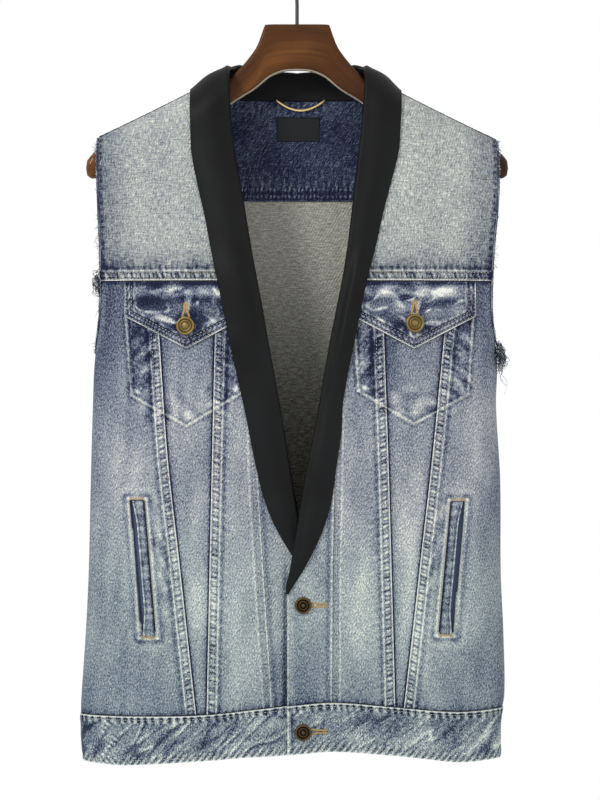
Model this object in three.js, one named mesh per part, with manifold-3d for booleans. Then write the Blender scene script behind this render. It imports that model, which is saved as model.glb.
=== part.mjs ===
// A sleeveless denim jacket with a black satin shawl collar, hanging on a wooden hanger.
// Millimetres, +Z up. The front of the garment faces -Y and the wearer's left is at +X.
// The origin is the highest point inside the hook, where a rail would carry the hanger.
// Every cloth panel is a thin wall cut from one smooth body surface, parted at its seams.

import * as THREE from 'three';
import { mergeVertices } from 'three/addons/utils/BufferGeometryUtils.js';
import Module from 'manifold-3d';

const wasm = await Module();
wasm.setup();

// Driving sizes of the cloth
const wall = 1.5;              // denim with its pressed seam allowances
const seamGap = 0.3;           // clear space between two neighbouring pieces
const laid = 0.3;              // clear space under a piece that lies on a panel
const seamRise = 0.7;          // felled seam, proud of the panel
const seamWidth = 9.2;         // felled seam, across
const seamSlope = 1.2;         // width of the step down beside it
const liningWall = 1.2;        // inner ply of the back yoke
const bandRise = 1;            // the waistband is thicker, outwards and inwards
const bandInside = 1.7;
const bandEase = 3;            // height over which its edges round off
const yokeSeamZ = -330;
const waistSeamZ = -733;
const waistGap = 0.6;          // the waist seam drifts, so it needs more room
const hemZ = -776;
const backYokeSeamZ = -250;
const armpitZ = -399.5;
const breakZ = -618;           // where the lapels start to roll
const shoulderSeam = -0.15;    // radians in front of the shoulder's top line
const shoulderSeamHalf = 0.01; // radians from the seam's middle to either yoke
const shoulderHalf = 190;      // from the middle to the shoulder's tip
const leftBandTop = -386;      // both bands run out under the lapels
const rightBandTop = -354;
const overlapEdge = -9;        // edge of the wearer's left front, on top
const underlapEdge = 20.5;     // edge of the wearer's right front, beneath

// Driving sizes of the body form
const squareness = 2.5;        // power of the flattened oval that each level has
const topRound = 34;           // height over which front and back close at the shoulder
const armholeGape = 27;        // half of the armhole's opening, front to back
const armholeCurve = 130;      // height of the curved lower part of the armhole
const armholePower = 2.4;
const neckHalfWidth = 71.5;
const neckPointZ = -133;
const shoulderSlope = 0.53;
const shoulderBow = 0.00027;

// Each level of the body: side outlines and depths in front of and behind the middle plane
const bodyLevels = [
  { z: -195, right: -189, left: 190, front: 33, back: 33 },
  { z: -255, right: -191, left: 192, front: 38, back: 37 },
  { z: -308, right: -189, left: 187, front: 41, back: 39 },
  { z: -361, right: -189, left: 186, front: 43, back: 41 },
  { z: -404, right: -193, left: 191, front: 44, back: 42 },
  { z: -447, right: -195, left: 190, front: 44.5, back: 42.5 },
  { z: -519, right: -197, left: 194, front: 45, back: 43 },
  { z: -605, right: -199, left: 194.5, front: 45, back: 43 },
  { z: -662, right: -202, left: 197, front: 43, back: 42 },
  { z: -720, right: -206, left: 198, front: 40, back: 40 },
  { z: -748, right: -206, left: 194, front: 39, back: 39 },
  { z: -776, right: -203.5, left: 194, front: 38, back: 38 },
];

// Lapels: where they fold and where their free edge lies, seen from the front
const leftLapel = [
  { z: -618, fold: -8.3, edge: -8 },
  { z: -610, fold: -7.4, edge: -2.4 },
  { z: -600, fold: -6, edge: 3.7 },
  { z: -586, fold: -3.2, edge: 12.1 },
  { z: -572, fold: -0.9, edge: 19.5 },
  { z: -558, fold: 1.4, edge: 24.1 },
  { z: -544, fold: 3.3, edge: 28.7 },
  { z: -530, fold: 5.6, edge: 31.5 },
  { z: -503, fold: 10.2, edge: 35.2 },
  { z: -475, fold: 15.8, edge: 39.8 },
  { z: -447, fold: 21.3, edge: 42.8 },
  { z: -419, fold: 25.9, edge: 47.4 },
  { z: -392, fold: 30.6, edge: 52.6 },
  { z: -364, fold: 36.1, edge: 58.2 },
  { z: -328, fold: 43.2, edge: 66 },
  { z: -298, fold: 48, edge: 73.8 },
  { z: -268, fold: 51.6, edge: 80.5 },
  { z: -239, fold: 55, edge: 88 },
  { z: -209, fold: 58.4, edge: 95.5 },
  { z: -193, fold: 60.4, edge: 97 },
  { z: -180, fold: 62.3, edge: 97.5 },
  { z: -168, fold: 64.4, edge: 98 },
  { z: -158, fold: 66.2, edge: 98 },
  { z: -150, fold: 67.6, edge: 98 },
  { z: -143, fold: 68.8, edge: 98 },
  { z: -133, fold: 69.3, edge: 98 },
];
const rightLapel = [
  { z: -618, fold: 19.5, edge: 19.2 },
  { z: -610, fold: 16.6, edge: 10.4 },
  { z: -600, fold: 13, edge: 1.9 },
  { z: -586, fold: 9.3, edge: -6.5 },
  { z: -572, fold: 5.6, edge: -14.8 },
  { z: -558, fold: 1.9, edge: -22.2 },
  { z: -544, fold: -0.4, edge: -27.8 },
  { z: -530, fold: -2.8, edge: -32.4 },
  { z: -503, fold: -7.4, edge: -38.9 },
  { z: -475, fold: -12, edge: -44.4 },
  { z: -447, fold: -16.6, edge: -50 },
  { z: -419, fold: -21.7, edge: -56.3 },
  { z: -392, fold: -26.8, edge: -62 },
  { z: -364, fold: -31.5, edge: -67.4 },
  { z: -328, fold: -38.2, edge: -75 },
  { z: -298, fold: -43.8, edge: -81.3 },
  { z: -268, fold: -48.6, edge: -87 },
  { z: -239, fold: -53.7, edge: -93.7 },
  { z: -209, fold: -59, edge: -99.4 },
  { z: -193, fold: -61.2, edge: -100.2 },
  { z: -180, fold: -63.2, edge: -100.5 },
  { z: -168, fold: -64.9, edge: -100.5 },
  { z: -158, fold: -66.4, edge: -100.5 },
  { z: -150, fold: -67.6, edge: -100.5 },
  { z: -143, fold: -68.8, edge: -100.5 },
  { z: -133, fold: -69.3, edge: -100.5 },
];

// Slanting seams on each front, from the yoke to the waistband, and the seam of the front band
const leftSeams = [
  { z: -330, band: 36.5, inner: 80, outer: 144 },
  { z: -378, band: 36.5, inner: 81.6, outer: 139 },
  { z: -498, band: 36, inner: 85.8, outer: 127 },
  { z: -602, band: 34, inner: 88.8, outer: 115 },
  { z: -733, band: 33.4, inner: 92.5, outer: 100.5 },
];
const rightSeams = [
  { z: -330, band: -37, inner: -75.5, outer: -134.5 },
  { z: -378, band: -37.5, inner: -77, outer: -130 },
  { z: -498, band: -37, inner: -80, outer: -121.4 },
  { z: -602, band: -31.5, inner: -82.4, outer: -109.5 },
  { z: -733, band: -23, inner: -85.2, outer: -94.8 },
];
// Seams of the back, the same on both sides
const backSeams = [
  { z: -250, inner: 112 },
  { z: -500, inner: 98 },
  { z: -733, inner: 84 },
];

// How far the two fronts stand apart where they lie over each other
const layers = [
  { z: -430, apart: 0 },
  { z: -470, apart: 4 },
  { z: -505, apart: 9.5 },
  { z: -560, apart: 10.5 },
  { z: -622, apart: 9.5 },
  { z: -690, apart: 5.5 },
  { z: -733, apart: 4 },
  { z: -776, apart: 4 },
];
const overlapShare = 0.35;     // share of that which the upper front moves out

// The waist seam isn't level: its height above the nominal line, across the front
const waistDrift = [
  { x: -205, up: -8 },
  { x: -150, up: -8 },
  { x: -85, up: -6 },
  { x: -30, up: 0 },
  { x: 0, up: 3.5 },
  { x: 35, up: 6 },
  { x: 85, up: 2 },
  { x: 150, up: -4 },
  { x: 195, up: -2 },
];

// Soft folds: place of the crest at its top and foot, half width across, and height
const folds = [
  { face: 'right', topX: -168, topZ: -410, footX: -178, footZ: -715, across: 9, height: 2.6 },
  { face: 'right', topX: -62, topZ: -470, footX: -52, footZ: -700, across: 10, height: 1.9 },
  { face: 'right', topX: -118, topZ: -540, footX: -124, footZ: -650, across: 9, height: -1.3 },
  { face: 'right', topX: -118, topZ: -215, footX: -106, footZ: -320, across: 13, height: 1.6 },
  { face: 'left', topX: 171, topZ: -430, footX: 166, footZ: -712, across: 10, height: 2.3 },
  { face: 'left', topX: 60, topZ: -480, footX: 66, footZ: -705, across: 11, height: -1.8 },
  { face: 'left', topX: 120, topZ: -545, footX: 124, footZ: -655, across: 9, height: -1.4 },
  { face: 'left', topX: 112, topZ: -212, footX: 126, footZ: -318, across: 12, height: 1.6 },
  { face: 'back', topX: -140, topZ: -300, footX: -150, footZ: -690, across: 15, height: 3 },
  { face: 'back', topX: 138, topZ: -320, footX: 152, footZ: -700, across: 14, height: 2.8 },
  { face: 'back', topX: -38, topZ: -420, footX: -46, footZ: -705, across: 16, height: -2.4 },
  { face: 'back', topX: 44, topZ: -380, footX: 38, footZ: -660, across: 13, height: 2.2 },
];

// Satin collar
const satin = 1.4;
const foldRadius = 2.5;
const lapelRest = 0.6;         // clear space under the free edge
const lapelLoft = 2.4;         // how far the middle of a lapel lifts off the front
const flapClearance = 4;       // extra lift where the lapel rides over a pocket flap
const shoulderEase = 1;        // the collar stands a little off the shoulder and the back
const facingWidth = 9;
const riseFromZ = -205;        // above this the fold starts to stand up off the seam
const backCollarWidth = 40;
// The collar from the shoulder to the middle of the back: seam, free edge and rise of its fold
const collarStations = [
  { neckX: 71.5, neckQ: 0, edgeX: 98, edgeQ: 0.45, riseX: -10, riseY: 0, riseZ: 12.5, facing: 1.5 },
  { neckX: 70, neckQ: 0.5, edgeX: 92.5, edgeQ: 0.95, riseX: -9, riseY: 1, riseZ: 15, facing: 1 },
  { neckX: 65, neckQ: 0.95, edgeX: 84, edgeQ: 1.45, riseX: -7, riseY: 2, riseZ: 21, facing: 1 },
  { neckX: 55.5, neckQ: 1.3, edgeX: 71, edgeQ: 1.85, riseX: -5, riseY: 2.5, riseZ: 27, facing: 1 },
  { neckX: 41, neckQ: 1.5, edgeX: 52, edgeQ: 2.15, riseX: -3, riseY: 2.5, riseZ: 28, facing: 1 },
  { neckX: 21, neckQ: 1.65, edgeX: 27, edgeQ: 2.38, riseX: -1, riseY: 2.2, riseZ: 27.5, facing: 1 },
  { neckX: 0, neckQ: 1.72, edgeX: 0, edgeQ: 2.45, riseX: 0, riseY: 2, riseZ: 27, facing: 1 },
];

// Chest pockets, one on each front
const flapHalfWidth = 58;
const flapSideZ = -363.5;
const flapDrop = 30.5;
const flapThickness = 1.8;
const flapTopGap = 1.2;
const flapBase = 1.2;          // the flap lies over raised seams
const flapPuff = 3.2;
const bagThickness = 1;
const bagClearance = 0.9;
const bagDropTop = 3;          // the bag starts just under the flap's top
const chestPockets = {
  right: { x: -103.8, buttonZ: -373, bagTop: 54, bagFoot: 51, bagZ: -438, bagDrop: 29 },
  left: { x: 109.8, buttonZ: -370.5, bagTop: 55, bagFoot: 51, bagZ: -437, bagDrop: 28 },
};

// Slanting hand pockets: the slit in the side panel, at its top and foot
const handPockets = {
  right: { topZ: -537, topIn: -144.5, topOut: -157, footZ: -660, footIn: -133.5, footOut: -146 },
  left: { topZ: -538, topIn: 145.5, topOut: 158, footZ: -661, footIn: 134, footOut: 146.5 },
};
const slitNearY = -70;         // the slit is cut through the front alone
const slitFarY = -8;
const pocketMouth = 3.4;       // open part of the slit, beside the welt
const weltRise = 0.5;
const weltInside = 1.1;
const handBagWidth = 62;
const handBagMargin = 8;       // how far the bag goes past the slit above and outwards
const handBagDepth = 34;       // how far the bag hangs below the slit

// Buttons, each on a shank through the cloth that it fastens
const shankRadius = 2.2;
const buttonholeRadius = 2.7;
const drillLength = 24;
const roundSides = 12;
const shankEase = 0.1;
const capEase = 0.7;           // between a puffed flap and its button's cap
const pocketButton = { radius: 8.8, height: 3.4 };
const frontButton = { radius: 7.9, height: 3.2 };
const frontButtonX = 5.8;
const upperButtonZ = -637;
const lowerButtonZ = -757.5;

// Neck fittings
const label = { x: 0.9, z: -181, width: 40.5, height: 23, thickness: 0.8 };
const loop = { x: 3.3, halfSpan: 23.5, z: -152.8, sag: 10, bow: 0.8, radius: 1.15 };

// Wooden hanger: its outline from the middle to the tip, and half of its thickness
const hangerOutline = [
  { x: 0, top: -84, bottom: -127.5, half: 8.5 },
  { x: 13, top: -84, bottom: -128.6, half: 8.5 },
  { x: 25, top: -84, bottom: -133.2, half: 8.5 },
  { x: 30.5, top: -84.4, bottom: -137.2, half: 8.5 },
  { x: 32, top: -88, bottom: -138.4, half: 8.5 },
  { x: 35, top: -97, bottom: -141, half: 8.5 },
  { x: 38.5, top: -105.5, bottom: -144, half: 8.6 },
  { x: 43.5, top: -113, bottom: -147.5, half: 8.7 },
  { x: 51, top: -122.5, bottom: -152, half: 8.9 },
  { x: 58, top: -130, bottom: -156.3, half: 9.2 },
  { x: 65, top: -137.8, bottom: -161, half: 9.6 },
  { x: 74, top: -141.8, bottom: -166, half: 10.4 },
  { x: 88, top: -145.7, bottom: -173.5, half: 12 },
  { x: 106, top: -155, bottom: -183, half: 13.6 },
  { x: 126, top: -165.1, bottom: -193.5, half: 14.8 },
  { x: 146, top: -175, bottom: -204.5, half: 15.2 },
  { x: 164, top: -183.8, bottom: -215, half: 15 },
  { x: 178, top: -193, bottom: -223.5, half: 14 },
  { x: 189, top: -202, bottom: -229.5, half: 12 },
  { x: 196, top: -208, bottom: -231, half: 9 },
  { x: 200.5, top: -213.5, bottom: -228, half: 5 },
];
const hangerSidesPower = 6;    // block with eased edges in the middle
const hangerTipPower = 2.2;    // rounded shoulder ends
const hangerDepthSegments = 10;

// Steel hook
const hookWire = 1.7;
const hookRadius = 24;         // centre line of the bow
const shankLength = 30;        // straight part above the wood
const shankInWood = 16;
const shankClearance = 0.3;

// Frayed edge of each armhole
const frayStrip = 1.1;
const strandsEach = 36;
const upperReach = 2.2;        // radians of the armhole's loop on either side of the shoulder

const deg = Math.PI / 180;
const faces = { left: -1, right: -1, back: 1 };  // the side of the middle plane, along Y

// Smooth interpolation in a table of rows sorted by one of its columns
function read(rows, by, column, at) {
  const rising = rows[0][by] < rows[rows.length - 1][by];
  const list = rising ? rows : [...rows].reverse();
  if (at <= list[0][by]) return list[0][column];
  if (at >= list[list.length - 1][by]) return list[list.length - 1][column];
  let k = 0;
  while (list[k + 1][by] < at) k++;
  const slope = i => {
    const a = list[Math.max(0, i - 1)];
    const b = list[Math.min(list.length - 1, i + 1)];
    return (b[column] - a[column]) / (b[by] - a[by]);
  };
  const span = list[k + 1][by] - list[k][by];
  const t = (at - list[k][by]) / span;
  const s = 1 - t;
  return list[k][column] * (1 + 2 * t) * s * s + list[k + 1][column] * (1 + 2 * s) * t * t
    + span * (slope(k) * t * s * s - slope(k + 1) * s * t * t);
}

const mix = (a, b, t) => a + (b - a) * t;
const smooth = (a, b, v) => {
  const t = Math.min(1, Math.max(0, (v - a) / (b - a)));
  return t * t * (3 - 2 * t);
};
const steps = (count, from = 0, to = 1) =>
  Array.from({ length: count + 1 }, (_, i) => mix(from, to, i / count));

// Height of the shoulder's top line, which carries on over the neck as a low arch
function shoulderZ(x) {
  const out = Math.abs(x) - neckHalfWidth;
  if (out > 0) return neckPointZ - shoulderSlope * out + shoulderBow * out * out;
  const arch = shoulderSlope * neckHalfWidth / 2;
  return neckPointZ + arch * (1 - (x / neckHalfWidth) ** 2);
}

// Half of the armhole's opening at a height
function gapeAt(z) {
  if (z <= armpitZ) return 0;
  const share = Math.min(1, (z - armpitZ) / armholeCurve);
  return armholeGape * (1 - (1 - share) ** armholePower) ** (1 / armholePower);
}

// One level of the body: middle, half width and depth. Above the armpit the oval is wider than
// the cloth, so that the cloth's edge stands off the middle plane by half the armhole's opening.
function levelAt(face, z) {
  const right = read(bodyLevels, 'z', 'right', z);
  const left = read(bodyLevels, 'z', 'left', z);
  const depth = read(bodyLevels, 'z', face === 'back' ? 'back' : 'front', z);
  const half = (left - right) / 2;
  const open = (1 - (gapeAt(z) / depth) ** squareness) ** (1 / squareness);
  return { middle: (left + right) / 2, half, width: half / open, depth };
}

function foldHeight(face, x, z) {
  return folds.filter(f => f.face === face).reduce((sum, f) => {
    const t = (z - f.topZ) / (f.footZ - f.topZ);
    const fade = smooth(0, 0.3, t) * smooth(1, 0.75, t);
    const off = (x - mix(f.topX, f.footX, t)) / f.across;
    return sum + f.height * fade * Math.exp(-off * off);
  }, 0);
}

// Where the fronts cross, the wearer's left one lies outside the other
function layerShift(face, x, z) {
  if (face === 'back') return 0;
  const apart = read(layers, 'z', 'apart', z);
  return face === 'left'
    ? -apart * overlapShare * smooth(125, 38, x)
    : apart * (1 - overlapShare) * smooth(-125, -38, x);
}

// Moves a point of the plain form to its place on the hanging cloth
function settle(face, x, z, depth) {
  const y = faces[face] * (depth + foldHeight(face, x, z)) + layerShift(face, x, z);
  const drift = read(waistDrift, 'x', 'up', x) * smooth(-540, waistSeamZ, z);
  return new THREE.Vector3(x, y, z + drift);
}

// A point of the body by its angle round the level, 0 at the middle and a quarter turn at the side
function roundPoint(face, angle, z) {
  const { middle, width, depth } = levelAt(face, z);
  const power = 2 / squareness;
  const across = Math.sign(Math.sin(angle)) * Math.abs(Math.sin(angle)) ** power;
  const deep = Math.sign(Math.cos(angle)) * Math.abs(Math.cos(angle)) ** power;
  return settle(face, middle + width * across, z, depth * deep);
}

function angleOf(face, x, z) {
  const { middle, width } = levelAt(face, z);
  const share = Math.max(-1, Math.min(1, (x - middle) / width));
  return Math.sign(share) * Math.asin(Math.abs(share) ** (squareness / 2));
}

// Side outline of the cloth: the side seam, or the armhole above the armpit
function sideX(face, side, z) {
  const { middle, half } = levelAt(face, z);
  return middle + side * half;
}

// The angle of the cloth's outer edge: the side seam, or the armhole above the armpit
function sideAngle(face, side, z) {
  const seam = Math.acos((seamGap / 2 / levelAt(face, z).depth) ** (squareness / 2));
  return side * Math.min(seam, Math.abs(angleOf(face, sideX(face, side, z), z)));
}

// A point near the shoulder by x and the turn over its top line, positive towards the back
function topPoint(front, x, turn) {
  const face = turn > 0 ? 'back' : front;
  const past = Math.abs(turn) - Math.PI / 2;
  const drop = past > 0 ? topRound * (1 + past) : topRound * (1 - Math.cos(turn));
  const z = shoulderZ(x) - drop;
  const { middle, width, depth } = levelAt(face, z);
  const across = Math.min(1, Math.abs((x - middle) / width));
  const deep = depth * (1 - across ** squareness) ** (1 / squareness);
  return settle(face, x, z, deep * (past > 0 ? 1 : Math.abs(Math.sin(turn))));
}

function turnOf(face, x, z) {
  const drop = Math.max(0, shoulderZ(x) - z);
  const turn = drop > topRound ? Math.PI / 2 + drop / topRound - 1 : Math.acos(1 - drop / topRound);
  return faces[face] * turn;
}

// Place and outward normal on the cloth, from either kind of coordinates
function withNormal(at, a, b, stepA, stepB, face) {
  const p = at(a, b);
  const da = at(a + stepA, b).sub(at(a - stepA, b));
  const db = at(a, b + stepB).sub(at(a, b - stepB));
  const n = da.cross(db).normalize();
  return { p, n: n.multiplyScalar(face === 'back' ? -1 : 1) };
}
const onBody = (face, angle, z) =>
  withNormal((a, b) => roundPoint(face, a, b), angle, z, 1e-3, 0.05, face);
const onFace = (face, x, z) => onBody(face, angleOf(face, x, z), z);
const frontAt = x => (x > 0 ? 'left' : 'right');
const onTop = (face, x, turn) => {
  const front = face === 'back' ? frontAt(x) : face;
  return withNormal((a, b) => topPoint(front, a, b), x, turn, 0.05, 1e-3, front);
};
const lift = (spot, height) => spot.p.clone().addScaledVector(spot.n, height);

// Closed solid between two grids of points with the same rows and columns
function solidBetween(outer, inner) {
  const rows = outer.length;
  const columns = outer[0].length;
  const positions = [...outer.flat(), ...inner.flat()].flatMap(v => [v.x, v.y, v.z]);
  const at = (layer, i, j) => layer * rows * columns + i * columns + j;
  const index = [];
  const quad = (a, b, c, d) => index.push(a, b, c, a, c, d);
  for (let i = 0; i + 1 < rows; i++) {
    for (let j = 0; j + 1 < columns; j++) {
      quad(at(0, i, j), at(0, i + 1, j), at(0, i + 1, j + 1), at(0, i, j + 1));
      quad(at(1, i, j), at(1, i, j + 1), at(1, i + 1, j + 1), at(1, i + 1, j));
    }
  }
  const rim = [
    ...steps(rows - 1).map((_, i) => [i, 0]),
    ...steps(columns - 1).map((_, j) => [rows - 1, j]).slice(1),
    ...steps(rows - 1).map((_, i) => [rows - 1 - i, columns - 1]).slice(1),
    ...steps(columns - 1).map((_, j) => [0, columns - 1 - j]).slice(1, -1),
  ];
  rim.forEach(([i, j], k) => {
    const [m, n] = rim[(k + 1) % rim.length];
    quad(at(0, i, j), at(1, i, j), at(1, m, n), at(0, m, n));
  });
  return facingOut(geometryOf(positions, index));
}

function geometryOf(positions, index) {
  const geometry = new THREE.BufferGeometry();
  geometry.setAttribute('position', new THREE.Float32BufferAttribute(positions, 3));
  geometry.setIndex(index);
  return geometry;
}

// Turns the faces round if the solid is inside out
function facingOut(geometry) {
  const p = geometry.getAttribute('position');
  const index = geometry.getIndex().array;
  const [a, b, c] = [new THREE.Vector3(), new THREE.Vector3(), new THREE.Vector3()];
  let volume = 0;
  for (let i = 0; i < index.length; i += 3) {
    a.fromBufferAttribute(p, index[i]);
    b.fromBufferAttribute(p, index[i + 1]);
    c.fromBufferAttribute(p, index[i + 2]);
    volume += a.dot(b.cross(c));
  }
  if (volume < 0) {
    for (let i = 0; i < index.length; i += 3) {
      [index[i + 1], index[i + 2]] = [index[i + 2], index[i + 1]];
    }
  }
  geometry.computeVertexNormals();
  return geometry;
}

// Joins and cuts through manifold solids
function toManifold(geometry) {
  const bare = geometry.clone();
  bare.deleteAttribute('normal');
  bare.deleteAttribute('uv');
  const merged = mergeVertices(bare, 1e-3);
  return new wasm.Manifold(new wasm.Mesh({
    numProp: 3,
    vertProperties: merged.getAttribute('position').array,
    triVerts: new Uint32Array(merged.index.array),
  }));
}

function fromManifold(solid) {
  const mesh = solid.getMesh();
  const positions = [];
  for (let i = 0; i < mesh.numVert; i++) {
    positions.push(...mesh.vertProperties.slice(i * mesh.numProp, i * mesh.numProp + 3));
  }
  return facingOut(geometryOf(positions, [...mesh.triVerts]));
}

// Cloth wall from a grid of spots: each outer point is raised by rise(row, column)
function clothWall(grid, rise = () => 0, inward = wall) {
  const outer = grid.map((row, i) => row.map((spot, j) => lift(spot, rise(i, j))));
  const inner = grid.map(row => row.map(spot => lift(spot, -inward)));
  return solidBetween(outer, inner);
}

const materials = {
  denim: new THREE.MeshStandardMaterial({ color: 0x8796a8, roughness: 0.92 }),
  denimLight: new THREE.MeshStandardMaterial({ color: 0xb4bbb9, roughness: 0.92 }),
  denimDark: new THREE.MeshStandardMaterial({ color: 0x232c52, roughness: 0.92 }),
  bag: new THREE.MeshStandardMaterial({ color: 0x3d4a60, roughness: 0.95 }),
  satin: new THREE.MeshStandardMaterial({ color: 0x1c1e21, roughness: 0.42 }),
  label: new THREE.MeshStandardMaterial({ color: 0x17181a, roughness: 0.8 }),
  brass: new THREE.MeshStandardMaterial({ color: 0x8c7442, roughness: 0.4, metalness: 1 }),
  gilt: new THREE.MeshStandardMaterial({ color: 0xd2b878, roughness: 0.3, metalness: 1 }),
  wood: new THREE.MeshStandardMaterial({ color: 0x6a3c1e, roughness: 0.4 }),
  steel: new THREE.MeshStandardMaterial({ color: 0x1a1a1c, roughness: 0.4, metalness: 1 }),
  thread: new THREE.MeshStandardMaterial({ color: 0xcfd4d4, roughness: 0.95 }),
};

const vest = new THREE.Group();
function add(name, geometry, material) {
  const mesh = new THREE.Mesh(geometry, material);
  mesh.name = name;
  vest.add(mesh);
}

// The front edge of the cloth inside the lapel's fold, or its free edge below the break
function neckX(face, z) {
  const sign = face === 'left' ? 1 : -1;
  const rows = face === 'left' ? leftLapel : rightLapel;
  const plain = face === 'left' ? overlapEdge : underlapEdge;
  const folded = read(rows, 'z', 'fold', z) + sign * foldRadius;
  return mix(plain, folded, smooth(breakZ - 4, breakZ + 14, z));
}
const seamX = (face, column, z) => read(face === 'left' ? leftSeams : rightSeams, 'z', column, z);

// Heights of the rows of the long panels, closer together at the foot of the armhole
const plainRows = [...steps(8, waistSeamZ + waistGap, -412), -370, yokeSeamZ - seamGap / 2];
const longRows = [
  ...steps(11, waistSeamZ + waistGap, -412),
  armpitZ, -397, -391, -379, -358, yokeSeamZ - seamGap / 2,
];

// Positions across a panel at one height: seam bands at both ends and even steps between
function across(from, to, count, bands) {
  const sign = Math.sign(to - from);
  const edge = sign * seamWidth;
  const step = sign * (seamWidth + seamSlope);
  const inner = bands[0] ? [from, from + edge, from + step] : [from];
  const outer = bands[1] ? [to - step, to - edge, to] : [to];
  const middle = steps(count, inner[inner.length - 1], outer[0]).slice(1, -1);
  return [...inner, ...middle, ...outer];
}

// Front panels between two seams. The bands along the given seams are raised.
function frontPanel(face, fromX, toX, rows, count, bands) {
  const grid = rows.map(z => across(fromX(z), toX(z), count, bands)
    .map(x => onFace(face, x, z)));
  const last = grid[0].length - 1;
  return clothWall(grid, (i, j) => {
    const raised = (bands[0] && j < 2) || (bands[1] && j > last - 2);
    return raised ? seamRise : 0;
  });
}

// Side panels run from a seam to the side seam and the armhole, in steps of equal angle
function sidePanel(face, side, seamAt, rows, count) {
  return rows.map(z => {
    const seam = seamAt(z) + side * seamGap / 2;
    const band = [0, seamWidth, seamWidth + seamSlope].map(w => angleOf(face, seam + side * w, z));
    const rest = steps(count, band[2], sideAngle(face, side, z)).slice(1);
    return [...band, ...rest].map(angle => onBody(face, angle, z));
  });
}
const seamBand = (i, j) => (j < 2 ? seamRise : 0);

function bodyPanels() {
  for (const [face, side] of [['left', 1], ['right', -1]]) {
    const half = side * seamGap / 2;
    const centreFrom = z => {
      const band = seamX(face, 'band', z);
      const neck = neckX(face, z);
      return side * Math.max(side * band, side * neck) + half;
    };
    add(`front_centre_${face}`,
      frontPanel(face, centreFrom, z => seamX(face, 'inner', z) - half, plainRows, 2, [false, true]),
      materials.denim);
    add(`front_inset_${face}`,
      frontPanel(face, z => seamX(face, 'inner', z) + half, z => seamX(face, 'outer', z) - half,
        plainRows, 3, [false, false]),
      materials.denim);
    const sideGrid = sidePanel(face, side, z => seamX(face, 'outer', z), longRows, 5);
    const slit = slitPrism(handPockets[face], side, 0, 0);
    const weltShape = slitPrism(handPockets[face], side, seamGap, pocketMouth);
    add(`front_side_${face}`, cut(clothWall(sideGrid, seamBand), slit), materials.denim);
    add(`hand_pocket_welt_${face}`,
      common(clothWall(sideGrid, () => weltRise, weltInside), weltShape), materials.denim);

    const bandTop = face === 'left' ? leftBandTop : rightBandTop;
    const bandRows = [
      ...steps(5, waistSeamZ + waistGap, breakZ - 8),
      breakZ, breakZ + 5, ...steps(8, breakZ + 10, bandTop),
    ];
    const bandWall = frontPanel(face, z => neckX(face, z), z => seamX(face, 'band', z) - half,
      bandRows, 2, [false, false]);
    add(`front_band_${face}`,
      face === 'left' ? withHole(bandWall, onFace(face, frontButtonX, upperButtonZ)) : bandWall,
      materials.denim);
  }

  const aboveArmpit = [-322, -287, backYokeSeamZ - seamGap / 2];
  const backRows = [...longRows.filter(z => z < -340), ...aboveArmpit];
  const centreRows = [...plainRows.filter(z => z < -340), ...aboveArmpit];
  const backSeam = z => read(backSeams, 'z', 'inner', z);
  const centre = centreRows.map(z => steps(9, -1, 1)
    .map(t => onFace('back', t * (backSeam(z) - seamGap / 2), z)));
  add('back_centre', clothWall(centre), materials.denim);
  for (const [name, side] of [['left', 1], ['right', -1]]) {
    add(`back_side_${name}`,
      clothWall(sidePanel('back', side, z => side * backSeam(z), backRows, 5), seamBand),
      materials.denim);
  }
}

// Straight prism along Y through the front wall, from corners seen from the front
function prism(corners, nearY, farY) {
  const outer = [corners.slice(0, 2), [corners[3], corners[2]]]
    .map(row => row.map(([x, z]) => new THREE.Vector3(x, nearY, z)));
  const inner = outer.map(row => row.map(v => new THREE.Vector3(v.x, farY, v.z)));
  return solidBetween(outer, inner);
}

// The slit's outline, drawn in by a gap on three sides and by the open mouth on the fourth
function slitPrism(slit, side, gap, mouth) {
  const inset = side * gap;
  return prism([
    [slit.topIn + inset, slit.topZ - gap], [slit.topOut - side * mouth, slit.topZ - gap],
    [slit.footOut - side * mouth, slit.footZ + gap], [slit.footIn + inset, slit.footZ + gap],
  ], slitNearY, slitFarY);
}
const cut = (a, b) => fromManifold(toManifold(a).subtract(toManifold(b)));
const common = (a, b) => fromManifold(toManifold(a).intersect(toManifold(b)));

// Round hole for a button's shank, square to the cloth
function withHole(geometry, spot) {
  const drill = new THREE.CylinderGeometry(buttonholeRadius, buttonholeRadius, drillLength, roundSides);
  drill.applyQuaternion(new THREE.Quaternion().setFromUnitVectors(new THREE.Vector3(0, 1, 0), spot.n));
  drill.translate(spot.p.x, spot.p.y, spot.p.z);
  return cut(geometry, drill);
}

// Yokes, in rows from the shoulder to the raised seam at the foot
const frontYokeRows = [...steps(7, 0, 0.36), 0.5, 0.65, 0.8, 0.95, 0.96, 1];
const backYokeRows = [0, 0.045, 0.14, 0.26, 0.4, 0.62, 0.9, 0.91, 1];
const yokeFootHalf = 88;       // foot of the line that starts at the neck's corner
const footBand = rows => i => (i >= rows.length - 2 ? seamRise : 0);

function frontYokes() {
  for (const [face, side] of [['left', 1], ['right', -1]]) {
    const bottom = yokeSeamZ + seamGap / 2;
    const grid = frontYokeRows.map(v => {
      const turnAt = x => mix(shoulderSeam - shoulderSeamHalf, turnOf(face, x, bottom), v);
      const heightAt = x => topPoint(face, x, turnAt(x)).z;
      let neck = side * neckHalfWidth;
      for (let k = 0; k < 8; k++) neck = neckX(face, heightAt(neck));
      let edge = side * shoulderHalf;
      for (let k = 0; k < 4; k++) edge = sideX(face, side, heightAt(edge));
      return steps(6, neck, edge).map(x => onTop(face, x, turnAt(x)));
    });
    add(`front_yoke_${face}`, clothWall(grid, footBand(frontYokeRows)), materials.denimLight);
  }
}

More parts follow.
